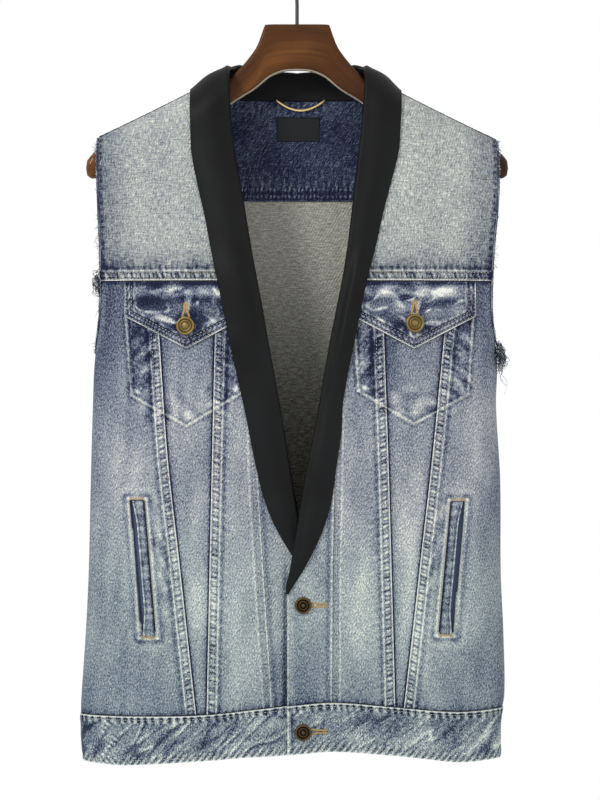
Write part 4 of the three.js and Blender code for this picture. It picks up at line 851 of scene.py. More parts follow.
def columnsBetween(start, end, near, far, step):
    # positions across each row: fixed distances from both edges and even steps between them
    start, end = np.asarray(start, float)[:, None], np.asarray(end, float)[:, None]
    sign = np.sign(end - start)
    room = np.abs(end - start)
    near, far = np.array(near, float)[None, :], np.array(far, float)[None, ::-1]
    fit = np.minimum(1, 0.92 * room / (near.max() + far.max() + 1e-9))
    near, far = near * fit, far * fit
    count = max(2, int(np.ceil((room - near[:, -1:] - far[:, :1]).max() / step)))
    t = np.linspace(0, 1, count + 1)[None, 1:-1]
    a, b = start + sign * near[:, -1:], end - sign * far[:, :1]
    return np.concatenate([start + sign * near, mix(a, b, t), end - sign * far], axis=1)


bandEdge = (0, 0.35, 0.8, 1.3, 1.9, 2.6, 3.6, 4.7, 5.8, 6.8, 7.5, 8.2, 8.8, 9.3, 9.9, 10.7, 12)
plainEdge = (0, 0.4, 0.9, 1.6, 2.6)
fine = {"front": 1.4, "back": 2.6}


def heights(top, foot, step, edge=(0, 0.5, 1.2, 2.2)):
    edge = np.array(edge)
    count = int(np.ceil((top - foot - 2 * edge[-1]) / step))
    middle = np.linspace(foot + edge[-1], top - edge[-1], count + 1)[1:-1]
    return np.concatenate([foot + edge, middle, top - edge[::-1]])


def bodyPiece(name, face, place, normal, x, z, more=(0, 0)):
    # more is height and paleness beyond what the seams give
    height, pale = backMarks(x, z) if face == back else frontMarks(face, x, z)
    pale = pale + bodyWash(face, x, z) + more[1]
    return makeCloth(name, place, normal, height + more[0], form["wall"], pale, "body_denim")


def sideAngles(face, side, z, start, levels):
    # across each row from a felled seam to the side seam
    near = np.stack([angleOf(face, start + side * w, z) for w in bandEdge], 1)
    t = np.linspace(0, 1, levels)[None, 1:]
    beyond = mix(near[:, -1:], sideAngle(face, side, z)[:, None], 1 - (1 - t) ** 1.15)
    return np.concatenate([near, beyond], axis=1)


def rawEdge(place, z):
    # height and paleness of the cut armhole edge, the last column of a side panel
    d = np.linalg.norm(place - place[:, -1:], axis=-1)
    openEdge = smooth(form["armpitZ"] - 2, form["armpitZ"] + 12, z)
    return -0.4 * openEdge * ridge(d, 0, 1), openEdge * (0.1 * ridge(d, 4, 3) - 0.3 * ridge(d, 0, 1.2))


def makeFronts():
    half, step = seamsAt["gap"] / 2, fine["front"]
    top, foot = seamsAt["yoke"] - half, seamsAt["waist"] + seamsAt["waistGap"]
    for face, side in sides.items():
        name = sideNames[face]
        z = heights(top, foot, step)
        rows = z[:, None]
        inner, outer, band = (seamX(face, key, z) for key in ("inner", "outer", "band"))
        start = side * np.maximum(side * band, side * neckX(face, z)) + side * half
        for node, a, b, far in (("front_centre", start, inner - side * half, bandEdge),
                                ("front_inset", inner + side * half, outer - side * half, plainEdge)):
            x = columnsBetween(a, b, plainEdge, far, step)
            bodyPiece(f"{node}_{name}", face, *onFace(face, x, rows), x, rows)
        place, normal = onBody(face, sideAngles(face, side, z, outer + side * half, 46), rows)
        panel = bodyPiece(f"front_side_{name}", face, place, normal, place[..., 0], rows,
                          rawEdge(place, rows))
        cutSlit(panel, face)

        z = heights(closing["bandTop"][face], foot, step)
        rows, edge = z[:, None], neckX(face, z)
        x = columnsBetween(edge, seamX(face, "band", z) - side * half, (0, 0.4, 1, 2, 3.2),
                           (0, 0.8, 1.8, 3, 4.4), step)
        d = side * (x - edge[:, None])
        below = smooth(collar["breakZ"] + 12, collar["breakZ"], rows)
        wearAndHighlight = below * (0.3 * ridge(d, 0, 1) + 0.07 * ridge(d, 4, 2))
        bodyPiece(f"front_band_{name}", face, *onFace(face, x, rows), x, rows,
                  (-0.3 * ridge(d, 0, 0.5), wearAndHighlight))


def cutSlit(piece, face):
    # the hand pocket's slit is cut out of the panel
    corners = slitCorners(face, 0, 0)
    cutter = makeMesh("slit_cutter", [(x, y, z) for y in (-90, -12) for x, z in corners], [
        (0, 1, 2, 3), (7, 6, 5, 4), (0, 4, 5, 1), (1, 5, 6, 2), (2, 6, 7, 3), (3, 7, 4, 0)])
    modifier = piece.modifiers.new("slit", "BOOLEAN")
    modifier.operation, modifier.object, modifier.solver = "DIFFERENCE", cutter, "EXACT"
    bpy.context.view_layer.update()
    done = bpy.data.meshes.new_from_object(piece.evaluated_get(bpy.context.evaluated_depsgraph_get()))
    piece.modifiers.clear()
    old, piece.data = piece.data, done
    bpy.data.meshes.remove(old)
    bpy.data.objects.remove(cutter)


makeFronts()
print("fronts made")


def makeBack():
    half = seamsAt["gap"] / 2
    z = heights(seamsAt["backYoke"] - half, seamsAt["waist"] + seamsAt["waistGap"], fine["back"])
    rows, seam = z[:, None], read(backSeams, "z", "inner", z)
    x = columnsBetween(half - seam, seam - half, plainEdge, plainEdge, fine["back"])
    bodyPiece("back_centre", back, *onFace(back, x, rows), x, rows)
    for face, side in sides.items():
        place, normal = onBody(back, sideAngles(back, side, z, side * (seam + half), 44), rows)
        bodyPiece(f"back_side_{sideNames[face]}", back, place, normal, place[..., 0], rows,
                  rawEdge(place, rows))


def backMarks(x, z):
    seam = read(backSeams, "z", "inner", z)
    height, pale = 0, 0
    for side in (-1, 1):
        d = side * x - seam
        h, p = felledBand(d, z, 71 + side)
        height = height + np.where(d >= 0, h, 0)
        pale = pale + p
    # dark lines along the back yoke and waist seams: painted shade, partly unfaded indigo
    pale = pale - 0.25 * ridge(z, seamsAt["backYoke"], 2.2)
    pale = pale - (0.16 + 0.1 * beat(x, 7, 4)) * ridge(z, seamsAt["waist"], 5)
    return height + 0.3 * ridge(z, seamsAt["waist"], 14) * beat(x, 9, 9), pale


makeBack()
print("back made")


# Yokes: d is the height above the seam at the foot, edge the distance from the armhole
def yokeMarks(x, d, edge, along, seed):
    h, p = felledBand(d, along, seed)
    navy = ridge(d, 13, 5) * (0.45 + 0.7 * beat(along, 5.2, seed + 7)) + smooth(34, 12, d) * 0.35 * (
        1 + wander(x, d * 0.6, 12, seed + 6))
    pale = (0.7 - 0.22 * smooth(40, 4, edge) - 0.08 * smooth(44, 12, d) - 0.15 * navy
            + 0.022 * wander(x, d * 0.4, 34, seed + 8) + 0.02 * wander(x * 0.4, d, 10, seed + 9)
            + 0.9 * p + 0.12 * ridge(d, 0.3, 0.8) - 0.1 * smooth(1.2, 2.2, d) * smooth(8.4, 7.4, d)
            + 0.14 * beat(along, 4.3, seed + 4) * ridge(d, 4.8, 2))
    raw = -0.35 * ridge(edge, 0, 1.2) - 0.25 * ridge(edge, 3, 1.6) * (1 + 0.6 * beat(d, 6, seed + 12))
    pucker = 0.32 * smooth(34, 9, d) * wander(x, d * 0.5, 9, seed + 11)
    return h + pucker - 0.4 * ridge(edge, 0, 1), pale + raw


def rowTurns(face, bottom, start, down, share):
    def turnAt(x):
        wide = (slice(None),) + (None,) * (np.ndim(x) - 1)
        return mix(start, turnOf(face, x, bottom + down[wide]), share[wide])
    return turnAt


def yokeRows(count, first=(0, 0.003, 0.008, 0.015)):
    down = np.concatenate([np.full(count + len(first), bandEdge[-1]), bandEdge[-2::-1]])
    share = np.concatenate([first, np.linspace(0.024, 1, count), np.ones(len(bandEdge) - 1)])
    return down, share


def makeFrontYokes():
    bottom = seamsAt["yoke"] + seamsAt["gap"] / 2
    for face, side in sides.items():
        down, share = yokeRows(104)
        turnAt = rowTurns(face, bottom, form["shoulderSeam"] - 0.01, down, share)
        neck = np.full(len(down), side * form["neckHalf"])
        edge = np.full(len(down), float(side * form["shoulderHalf"]))
        for _ in range(8):
            neck = neckX(face, topPoint(face, neck, turnAt(neck))[..., 2])
            edge = sideX(face, side, topPoint(face, edge, turnAt(edge))[..., 2])
        x = columnsBetween(neck, edge, plainEdge, plainEdge, fine["front"])
        place, normal = onTop(face, x, turnAt(x))
        d = place[..., 2] - bottom
        away = np.linalg.norm(place - place[:, -1:], axis=-1)
        height, pale = yokeMarks(x, d, away, x, 81 + face)
        # the dark line along the top rows, at the shoulder seam, is painted shadow of the seam
        seam = smooth(2.6, 0.8, share[:, None] * 180) * 0.45
        makeCloth(f"front_yoke_{sideNames[face]}", place, normal, height, form["wall"],
                  pale - seam - 0.025 * (face == right), "yoke_denim")


collarStations = table("t neckX neckQ edgeX edgeQ riseX riseY riseZ facing",
    (0, 71.5, 0, 98, 0.45, -4.5, 0, 7.6, 1.5), (1 / 6, 70, 0.5, 92.5, 0.95, -5.5, 1, 12, 1),
    (2 / 6, 65, 0.95, 84, 1.45, -8, 2, 22.6, 1), (3 / 6, 55.5, 1.3, 71, 1.85, -6, 2.5, 27.5, 1),
    (4 / 6, 41, 1.5, 52, 2.15, -3, 2.5, 26.5, 1), (5 / 6, 21, 1.65, 27, 2.38, -1, 2.2, 24.8, 1),
    (1, 0, 1.72, 0, 2.45, 0, 2, 24, 1))
yokeFootHalf = 88    # foot of the line that starts at the neck's corner
lining = {"gap": 0.3, "ply": 1.2}


def backYokeGrid():
    bottom = seamsAt["backYoke"] + seamsAt["gap"] / 2
    seam, neckHalf, tip = form["shoulderSeam"], form["neckHalf"], form["shoulderHalf"]
    outX = np.concatenate([[tip, tip - 0.5, tip - 1.3, tip - 2.4], np.linspace(tip - 4, neckHalf + 5, 62)])
    t = np.linspace(0.02, 1, 84)
    halfX = np.concatenate([outX, [neckHalf + 2.6, neckHalf + 0.9], read(collarStations, "t", "neckX", t)])
    halfTurn = np.concatenate([np.full(len(outX), seam + 0.01), [seam + 0.014, seam + 0.02],
                               read(collarStations, "t", "neckQ", t)])
    topX = np.concatenate([halfX, -halfX[-2::-1]])
    topTurn = np.concatenate([halfTurn, halfTurn[-2::-1]])
    down, share = yokeRows(60, (0, 0.004, 0.01, 0.018))
    out = np.maximum(0, np.abs(topX) - neckHalf) / (tip - neckHalf)
    reach = np.where(out > 0, np.sign(topX) * mix(yokeFootHalf, tip, out), topX * yokeFootHalf / neckHalf)
    x = mix(topX[None, :], reach[None, :], share[:, None])
    turnAt = lambda at, turn: mix(turn, turnOf(back, at, bottom + down[:, None]), share[:, None])
    for front, side, column in ((left, 1, 0), (right, -1, -1)):
        edge = x[:, [column]]
        for _ in range(4):
            turned = turnAt(edge, topTurn[column])
            edge = sideX(back, side, topPoint(front, edge, turned)[..., 2])
        x = x + (edge - side * tip) * np.where(np.sign(topX) == side, out, 0)[None, :] ** 4
    return x, turnAt(x, topTurn[None, :]), bottom


def makeBackYoke():
    x, turn, bottom = backYokeGrid()
    place, normal = onTop(back, x, turn)
    d = np.where(turn > 1.2, place[..., 2] - bottom, 80)
    away = np.minimum(*(np.linalg.norm(place - place[:, [end]], axis=-1) for end in (0, -1)))
    height, pale = yokeMarks(x, d, away, x, 91)
    out = smooth(form["neckHalf"] + 1, form["neckHalf"] + 4, np.abs(x))
    ahead = (turn - form["shoulderSeam"] - 0.01) * form["topRound"]
    h, p = felledBand(ahead, x, 95)
    # the dark line right at the shoulder seam is painted shadow of the seam
    makeCloth("back_yoke", place, normal, height + out * h * (ahead < 12), form["wall"],
              pale + out * (0.7 * p * (ahead < 14) - 0.8 * ridge(ahead, 0, 1.7)), "yoke_denim")

    near = form["wall"] + lining["gap"]
    columns = np.arange(x.shape[1])
    columns = columns[(np.abs(x[-1]) < 84) | (columns % 3 == 0) | (columns == columns[-1])]
    place, normal, x = place[3:, columns], normal[3:, columns], x[3:, columns]
    # two sewn rows above the lining's foot and small pleats over them
    z = place[..., 2]
    d = z - bottom
    tick = beat(x, felled["tick"], 96)
    ladder = ridge(d, 4.6, 1.6) + ridge(d, 11.2, 2)
    pleats = beat(x, 7.5, 97) * smooth(34, 15, d) * smooth(10, 14, d)
    under = beat(x, 6.5, 94) * ridge(z, -160, 9) * (np.abs(x) < 66)
    relief = 0.25 * wander(x, d, 26, 98) * smooth(0, 20, d) + (0.3 + 0.2 * tick) * ladder + 0.3 * pleats
    pale = (0.14 - 0.12 * smooth(15, 13, d) + (0.2 + 0.36 * tick) * ladder + 0.16 * np.clip(pleats, 0, 1)
            + 0.03 * wander(x, d, 30, 99) + 0.2 * ridge(d, 0.3, 0.7) + 0.12 * np.clip(under, 0, 1))
    makeCloth("back_yoke_lining", place, normal, -near, near + lining["ply"] + relief, pale, "dark_denim",
              "back_yoke", reverse=0, skip=1)


makeFrontYokes()
makeBackYoke()
print("yokes made")


# Waistband: one strip from the underlap, round the back, to the overlap
band = {"rise": 1.0, "inside": 1.7, "ease": 3.0, "dab": 7.2, "hemDab": 6.6}


def waistMarks(along, z, force=1, seed=3):
    # along runs from the underlap round the back, so both fronts have the same slant
    top, foot = seamsAt["waist"] - seamsAt["waistGap"] / 2, seamsAt["hem"]
    down, up = top - z, z - foot
    across, run = along * 0.6 + z * 0.8, -along * 0.8 + z * 0.6
    hemRope = beat(along + 0.9 * up, band["hemDab"], seed)
    topRope = beat(along + 0.15 * down, band["dab"], seed + 1)
    crease = wander(across, run * 0.2, 6.5, seed + 2)
    where = wander(along, z, 30, seed + 9)
    # each sharp crease is a pale rubbed crest with a dark line 2.4 mm beside it, painted shadow of the crease
    sharp = (np.clip(1 - 5 * np.abs(wander(across, run * 0.2, 9, seed + 6)), 0, 1) * smooth(-0.7, 0.5, where)
             - 0.5 * np.clip(1 - 3 * np.abs(wander(across + 2.4, run * 0.2, 9, seed + 6)), 0, 1))
    inner = smooth(2, 9, down) * smooth(2, 9, up)
    rim = band["rise"] * (0.5 + 0.5 * smooth(0, band["ease"], np.minimum(down, up)))
    teeth = (np.clip(topRope + 0.5 * wander(along, z, 16, seed + 8), -1, 0.2)
             * smooth(0.6, 1.6, down) * smooth(9, 3, down))
    speckle = wander(across, run * 0.6, 2.6, seed + 7)
    height = (rim + (0.4 * crease + 0.5 * sharp) * inner * force + 0.35 * topRope * smooth(9, 2, down)
              + 0.4 * hemRope * smooth(11, 2, up) - 0.24 * ridge(down, 3.2, 0.8) - 0.24 * ridge(up, 4, 0.8))
    pale = (0.49 + (0.11 * crease + 0.76 * sharp) * inner * force + 0.08 * where + 0.07 * speckle
            + (0.04 + 0.26 * topRope) * smooth(8.5, 4, down) + 0.34 * teeth + 0.7 * ridge(down, 0.2, 0.7)
            - 0.26 * ridge(down, 2, 0.9) + (0.06 + 0.36 * hemRope) * smooth(11, 4.5, up)
            + 0.4 * ridge(up, 0, 0.9) - 0.16 * ridge(down, 3.4, 0.8) - 0.16 * ridge(up, 4, 0.8)
            + 0.08 * ridge(up, 13, 3))
    return height, pale


def makeWaistband():
    top, foot = seamsAt["waist"] - seamsAt["waistGap"] / 2, seamsAt["hem"]
    z = heights(top, foot, 1.5, (0, 0.4, 1, 1.8, 3))
    corner, flatX = math.pi / 2, 168

    def anglesAt(face, spots):
        return np.stack([angleOf(face, np.full_like(z, at), z) for at in spots], 1)

    middle = anglesAt(back, np.linspace(-flatX, flatX, 180))
    bend = np.linspace(0, 1, 14)[None, 1:-1]
    parts = {back: np.concatenate([
        mix(-corner, middle[:, :1], bend), middle, mix(middle[:, -1:], corner, bend)], axis=1)}
    for face, side in sides.items():
        edge = closing["edge"][face]
        angle = anglesAt(face, np.concatenate([edge + side * np.array([0, 0.4, 1, 2]),
                                               np.linspace(edge + side * 3.5, side * flatX, 140)]))
        turns = np.linspace(0, 1, 22)[None, 1:]
        parts[face] = np.concatenate([angle, mix(angle[:, -1:], side * corner, turns)], axis=1)
    parts[left] = parts[left][:, ::-1]
    angle = np.concatenate([parts[face] for face in (right, back, left)], 1)
    where = np.concatenate([np.full(parts[face].shape, face) for face in (right, back, left)], 1)
    rows = z[:, None] + 0 * angle
    place, normal = withNormal(lambda a, b: roundPoint(where, a, b), angle, rows, 1e-3, 0.05)
    normal = normal * np.where(where == back, -1, 1)[..., None]
    along = walk(place[len(z) // 2])[None, :] + 0 * rows
    height, pale = waistMarks(along, rows, np.where(where == right, 0.9, 0.7))
    end = np.minimum(along, along[0, -1] - along)
    pale = pale + 0.5 * ridge(end, 0.4, 1.5) - 0.2 * ridge(end, 4.5, 1.6)
    makeCloth("waistband", place, normal, height, band["inside"], pale, "waistband_denim")


makeWaistband()
print("waistband made")


# Satin shawl collar: one folded strip, its seam edge inside the fold
def collarHalf(face):
    side = sides[face]
    rows = lapel[face]
    tip = collar["tipZ"][face]
    rowZ = np.concatenate([[tip], rows["z"][1:-1]])      # the first one is the point of the lapel
    z = np.minimum(rowZ, form["neckPointZ"] - 0.02)
    x = neckX(face, z)
    edgeX = read(rows, "z", "edge", rowZ)
    edgeZ = np.minimum(z, shoulderZ(edgeX) - 0.2)
    rising = smooth(collar["riseFromZ"], form["neckPointZ"], rowZ) ** 1.4
    first = {key: value[0] for key, value in collarStations.items()}
    front = {
        "neckX": x, "neckQ": turnOf(face, x, z), "edgeX": edgeX,
        "edgeQ": turnOf(face, edgeX, edgeZ) + first["edgeQ"] * smooth(-170, form["neckPointZ"], rowZ),
        "riseX": first["riseX"] * side * rising, "riseY": 0 * rising, "riseZ": first["riseZ"] * rising,
        "facing": mix(collar["facing"], first["facing"], smooth(-215, -140, rowZ)) * smooth(-640, -560, rowZ),
        "width": np.abs(edgeX - x),
        "round": mix(0.25, 1, smooth(tip - 2, tip + 26, rowZ)),
        "flap": smooth(-318, -330, rowZ) * smooth(-412, -398, rowZ),
        "shoulder": smooth(collar["riseFromZ"], -170, rowZ),
    }
    ones = np.ones(len(collarStations["t"]))
    behind = {key: value * (side if key in ("neckX", "edgeX", "riseX") else 1)
              for key, value in collarStations.items()}
    behind.update(width=collar["backWidth"] * ones, flap=0 * ones, shoulder=ones, round=ones)
    whole = {key: np.concatenate([front[key], behind[key]]) for key in front}
    whole["s"] = walk(onTop(face, whole["neckX"], whole["neckQ"])[0])
    s = np.linspace(0, whole["s"][-1], int(whole["s"][-1] / 3.2))
    return {key: read(whole, "s", key, s) for key in whole}


def makeCollar():
    halves = [collarHalf(left), collarHalf(right)]
    one = {key: np.concatenate([halves[0][key], halves[1][key][-2::-1]]) for key in halves[0]}
    count = len(halves[0]["s"])
    face = np.where(np.arange(len(one["neckX"])) < count, left, right)
    seam, seamNormal = onTop(face, one["neckX"], one["neckQ"])
    rise = np.stack([one["riseX"], one["riseY"], one["riseZ"]], -1)
    inwards = unit(np.cross(seamNormal, tangents(seam)))
    crest = unit(inwards * 6 + rise)
    proud = unit(seamNormal - crest * (seamNormal * crest).sum(-1, keepdims=True))
    radius, middle = collar["foldRadius"] * one["round"], -form["wall"] / 2
    loft = collar["loft"] * np.minimum(1, one["width"] / 30)
    places, normals = [], []
    for c in (1, 0.9, 0.75, 0.5, 0.3, 0.12):
        spot = seam - inwards * (one["facing"] * c)[:, None]
        onCloth, clothNormal = onTop(face, spot[:, 0], turnOf(face, spot[:, 0], spot[:, 2]))
        wide = smooth(3, 7, one["facing"])[:, None]
        leaf, leafNormal = mix(spot, onCloth, wide), unit(mix(seamNormal, clothNormal, wide))
        normal = unit(mix(leafNormal, proud, 1 - c))
        places.append(leaf + rise * (1 - c) * 0.95 + normal * (middle - radius)[:, None])
        normals.append(-normal)
    for a in np.radians(np.linspace(-90, 90, 11)):
        direction = proud * math.sin(a) + crest * math.cos(a)
        places.append(seam + rise + proud * middle + direction * radius[:, None])
        normals.append(direction)
    for c in np.concatenate([[0.04, 0.08, 0.13], np.linspace(0.18, 0.96, 20), [0.98, 0.992, 1]]):
        spot, spotNormal = onTop(face, mix(one["neckX"], one["edgeX"], c), mix(one["neckQ"], one["edgeQ"], c))
        normal = unit(mix(spotNormal, proud, (1 - c) * 0.8))
        rest = mix(middle + radius, collar["rest"] + collar["thick"] / 2, smooth(0, 0.6, c))
        height = (rest + loft * math.sin(math.pi * min(1, c * 1.02)) ** 1.5
                  + collar["flapClearance"] * one["flap"] * smooth(0, 0.4, c)
                  + collar["shoulderEase"] * one["shoulder"] * c)
        soft = 0.45 * wander(one["s"], c * 30, 46, 141) * smooth(0, 0.3, c) * smooth(1, 0.8, c)
        places.append(spot + rise * (1 - c) ** 1.15 + normal * (height + soft)[:, None])
        normals.append(normal)
    place, normal = np.stack(places, 1), np.stack(normals, 1)
    across, half = walk(place), collar["thick"] / 2
    cloth = np.stack([across, 0 * across, one["s"][:, None] + 0 * across], -1) * mm
    piece = makeShell("shawl_collar", place, normal, half, half, {"cloth": cloth}, finishes["satin"], skip=1)
    declareCloth(piece, "shawl_collar", place)


makeCollar()
print("collar made")


# Chest pocket flaps: pointed, double sewn round the edge, creased round the button
flap = {"half": 58, "sideZ": -363.5, "drop": 30.5, "thick": 1.8, "topGap": 1.2, "base": 1.2, "puff": 3.2,
        "lines": (1.6, 6.6)}
bag = {"thick": 1.0, "clear": 0.9, "below": 3, "topHalf": 54.5, "footHalf": 51}


def flapShape(face, a, b):
    # place on the front, and the height under the flap, from its own coordinates
    pocket = chestPockets[face]
    top = seamsAt["yoke"] - flap["topGap"]
    foot = flap["sideZ"] - flap["drop"] * (1 - np.abs(a))
    x, z = pocket["x"] + a * flap["half"], mix(top, foot, b)
    towards = -sides[face]
    puff = (flap["base"] + flap["puff"] * np.sin(np.pi * np.clip(b, 0, 1)) ** 0.9
            * smooth(1, 0.6, np.abs(a)) * smooth(0.55, -0.1, a * towards))
    return x, z, puff


def flapMarks(face, x, z):
    pocket = chestPockets[face]
    side = sides[face]
    away = np.hypot(x - pocket["x"], z - pocket["buttonZ"])
    across, down = x - pocket["x"], (seamsAt["yoke"] - flap["topGap"]) - z
    slope = flap["drop"] / flap["half"]
    foot = (z - flap["sideZ"] + flap["drop"] - np.abs(across) * slope) / math.hypot(1, slope)
    edge = np.minimum(foot, flap["half"] - np.abs(across))
    turn = np.arctan2(z - pocket["buttonZ"], across)
    # creases fan out from the button; between them lie sharp random ones
    rays = np.sin(turn * 5 + 0.05 * away + side) + 0.8 * np.sin(turn * 9 - 0.04 * away + 2)
    near = smooth(8, 12, away) * smooth(42, 16, away) * smooth(7, 11, edge)
    fan = near * np.clip(rays - 0.6, 0, 1)
    field = wander(x, z * 1.3, 19, 53 + side)
    inside = smooth(6.5, 10, edge) * smooth(3, 8, down)
    sharp = np.clip(1 - 3.2 * np.abs(field), 0, 1) * inside
    tick = beat(across + 0.4 * side * z, felled["tick"], 51 + side)
    rope = beat(across + 0.5 * z, 7.5, 52 + side)
    lines = ridge(edge, 1.7, 0.7) + ridge(edge, 6.7, 0.7)
    rubbed = (ridge(down, 9.5, 4) * smooth(46, 34, np.abs(across + 5 * side))
              * (0.75 + 0.45 * wander(x, z * 2.2, 10, 57 + side)))
    fan, sharp = np.clip(1.5 * fan - 0.1, 0, 1), sharp * smooth(-0.6, 0.6, wander(x, z, 16, 50 + side))
    height = (0.5 * fan + 0.45 * sharp + 0.5 * field * inside - 0.25 * lines + 0.3 * ridge(edge, 4.2, 1.6)
              + 0.12 * tick * ridge(edge, 4.2, 2.4) + 0.18 * rope * smooth(14, 8, edge) * smooth(6, 8, edge)
              + 0.4 * rubbed)
    base, blotch = 0.2, 0.13
    if face == left:
        base, blotch = 0.34 + 0.3 * ridge(across, 28, 15) * ridge(down, 13, 9), 0.2
    pale = (base + blotch * field + 0.55 * fan + 0.62 * sharp * (0.75 + 0.5 * wander(x, z, 6, 59))
            - 0.3 * smooth(5, 2, down) + 0.46 * rubbed - 0.2 * ridge(down, 17.5, 3.5)
            + 0.75 * ridge(edge, 0.1, 0.8) - 0.1 * smooth(8.6, 7.4, edge) * smooth(0.8, 1.6, edge)
            - 0.34 * lines + (0.3 + 0.3 * tick) * ridge(edge, 4.2, 1.3)
            + (0.22 + 0.22 * rope) * ridge(edge, 9.2, 1.2)
            - 0.16 * ridge(away, 11, 2.6) * inside)
    return height, pale


def makeChestPockets():
    for face in sides:
        pocket, name = chestPockets[face], sideNames[face]
        edge = np.array([0, 0.35, 0.9, 1.6, 2.4, 3.4, 4.6, 5.6, 6.6, 7.4])
        share = edge / flap["half"]
        inner = np.linspace(-1 + share[-1], 1 - share[-1], 88)[1:-1]
        a = np.concatenate([-1 + share, inner, 1 - share[::-1]])
        a = np.sort(np.append(a, 0)) if not np.isclose(a, 0).any() else a
        steps = edge / 46
        b = np.concatenate([[0, 0.01, 0.025, 0.05], np.linspace(0.075, 1 - steps[-1], 38), 1 - steps[-2::-1]])
        a, b = np.meshgrid(a, b)
        x, z, puff = flapShape(face, a, b)
        place, normal = onFace(face, x, z)
        height, pale = flapMarks(face, x, z)
        thick = np.maximum(0.9, flap["thick"] + height)
        makeCloth(f"pocket_flap_{name}", place, normal, puff + thick, -puff, pale, "body_denim")

        b, a = np.meshgrid(np.linspace(0, 1, 24), np.linspace(-1, 1, 31), indexing="ij")
        foot = pocket["bagZ"] - pocket["bagDrop"] * (1 - np.abs(a))
        half = mix(bag["topHalf"], bag["footHalf"], b)
        top = seamsAt["yoke"] - flap["topGap"] - bag["below"]
        place, normal = onFace(face, pocket["x"] + a * half, mix(top, foot, b))
        makeBag("chest_pocket_bag", "front_yoke", place, normal, face)


def makeBag(node, behind, place, normal, face):
    name, near = sideNames[face], form["wall"] + bag["clear"]
    soft = 0.15 * wander(place[..., 0], place[..., 2], 18, 111 + face)
    makeCloth(f"{node}_{name}", place, normal, -near, near + bag["thick"] + soft, 0.3, "pocket_cloth",
              f"{behind}_{name}", reverse=0)


# Hand pockets: a welt in the slit, and the bag behind it
welt = {"rise": 0.5, "inside": 1.1, "mouth": 4.2, "bagWidth": 62, "margin": 8, "below": 34}


def makeHandPockets():
    for face, side in sides.items():
        slit, name = handPockets[face], sideNames[face]
        gap = seamsAt["gap"]
        z = heights(slit["topZ"] - gap, slit["footZ"] + gap, 1.6, (0, 0.4, 1))
        t = (z - slit["footZ"]) / (slit["topZ"] - slit["footZ"])
        start = mix(slit["footIn"], slit["topIn"], t) + side * gap
        mouth = welt["mouth"] * (0.3 + 0.7 * smooth(0, 0.2, t) * smooth(1.06, 0.8, t))
        end = mix(slit["footOut"], slit["topOut"], t) - side * mouth
        x = columnsBetween(start, end, (0, 0.4, 0.9), (0, 0.4, 0.9, 1.6), 1)
        rows = z[:, None]
        place, normal = onFace(face, x, rows)
        d = np.abs(x - end[:, None])
        rope = beat(rows, 6.8, 121 + side)
        height = welt["rise"] + 0.2 * ridge(d, 3, 2.5) - 0.25 * ridge(d, 0, 0.8) + 0.14 * rope
        inner = np.abs(x - start[:, None])
        pale = (0.49 + 0.11 * rope + 0.34 * ridge(d, 0.3, 0.9) - 0.22 * ridge(d, 2, 0.9)
                - 0.4 * ridge(inner, 0, 1) + 0.07 * wander(x, rows, 8, 123))
        makeCloth(f"hand_pocket_welt_{name}", place, normal, height, welt["inside"], pale, "body_denim",
                  f"front_side_{name}")

        z = np.linspace(slit["footZ"] - welt["below"], slit["topZ"] + welt["margin"], 40)
        t = (z - slit["footZ"]) / (slit["topZ"] - slit["footZ"])
        start = mix(slit["footOut"], slit["topOut"], t) + side * welt["margin"]
        x = start[:, None] - side * welt["bagWidth"] * np.linspace(0, 1, 20)[None, :]
        place, normal = onFace(face, x, z[:, None])
        makeBag("hand_pocket_bag", "front_side", place, normal, face)


makeChestPockets()
makeHandPockets()
print("pockets made")


# Buttons: a dished cap with a rolled rim, a raised ring and a low boss in the middle
frontButtons = {"x": 5.8, "z": (-637, -757.5)}
buttons = {"pocket": {"radius": 8.8, "height": 3.4}, "front": {"radius": 7.9, "height": 3.2},
           "shank": 2.2, "capEase": 0.7, "sides": 40,
           "cap": [    # shares of the radius and the height, and how dark the hollow is
               (0.9, 0, 0.7), (0.965, 0.08, 0.5), (1, 0.3, 0.2), (0.995, 0.6, 0.1), (0.97, 0.82, 0),
               (0.915, 0.96, 0), (0.85, 1, 0), (0.79, 0.95, 0.1), (0.745, 0.84, 0.6), (0.71, 0.72, 1),
               (0.66, 0.66, 1), (0.61, 0.68, 0.7)]}


def turned(name, profile, base, axis, material, hollow):
    # solid of revolution round the axis, from pairs of radius and height
    sides = buttons["sides"]
    axis = unit(np.asarray(axis, float))
    across = unit(np.cross(axis, [0, 0, 1]))
    ring = ringOffsets(across[None], np.cross(across, axis)[None], sides)
    points = (base + profile[:, None, :1] * ring + profile[:, None, 1:] * axis).reshape(-1, 3)
    points = np.concatenate([points, [base + profile[0, 1] * axis], [base + profile[-1, 1] * axis]])
    hollow = np.concatenate([np.repeat(hollow, sides), hollow[[0, -1]]])
    quads = gridQuads(len(profile), sides, wrapColumns=True)
    return makeMesh(name, points, quads, {"hollow": hollow}, material, fanCaps(len(profile), sides))


def makeButton(name, size, spot, axis, cap, shankFoot, material, lines):
    r, h = size["radius"], size["height"]
    foot, shank = shankFoot - cap, buttons["shank"]
    profile = [(0.01, foot, 0.6), (shank, foot, 0.6), (shank, -0.01, 0.7)]
    profile += [(r * out, h * high, hollow) for out, high, hollow in buttons["cap"] + lines]
    profile = np.array(profile + [(0.01, *profile[-1][1:])])
    piece = turned(name, profile[:, :2], spot + axis * cap, axis, material, profile[:, 2])
    standsFor(name)


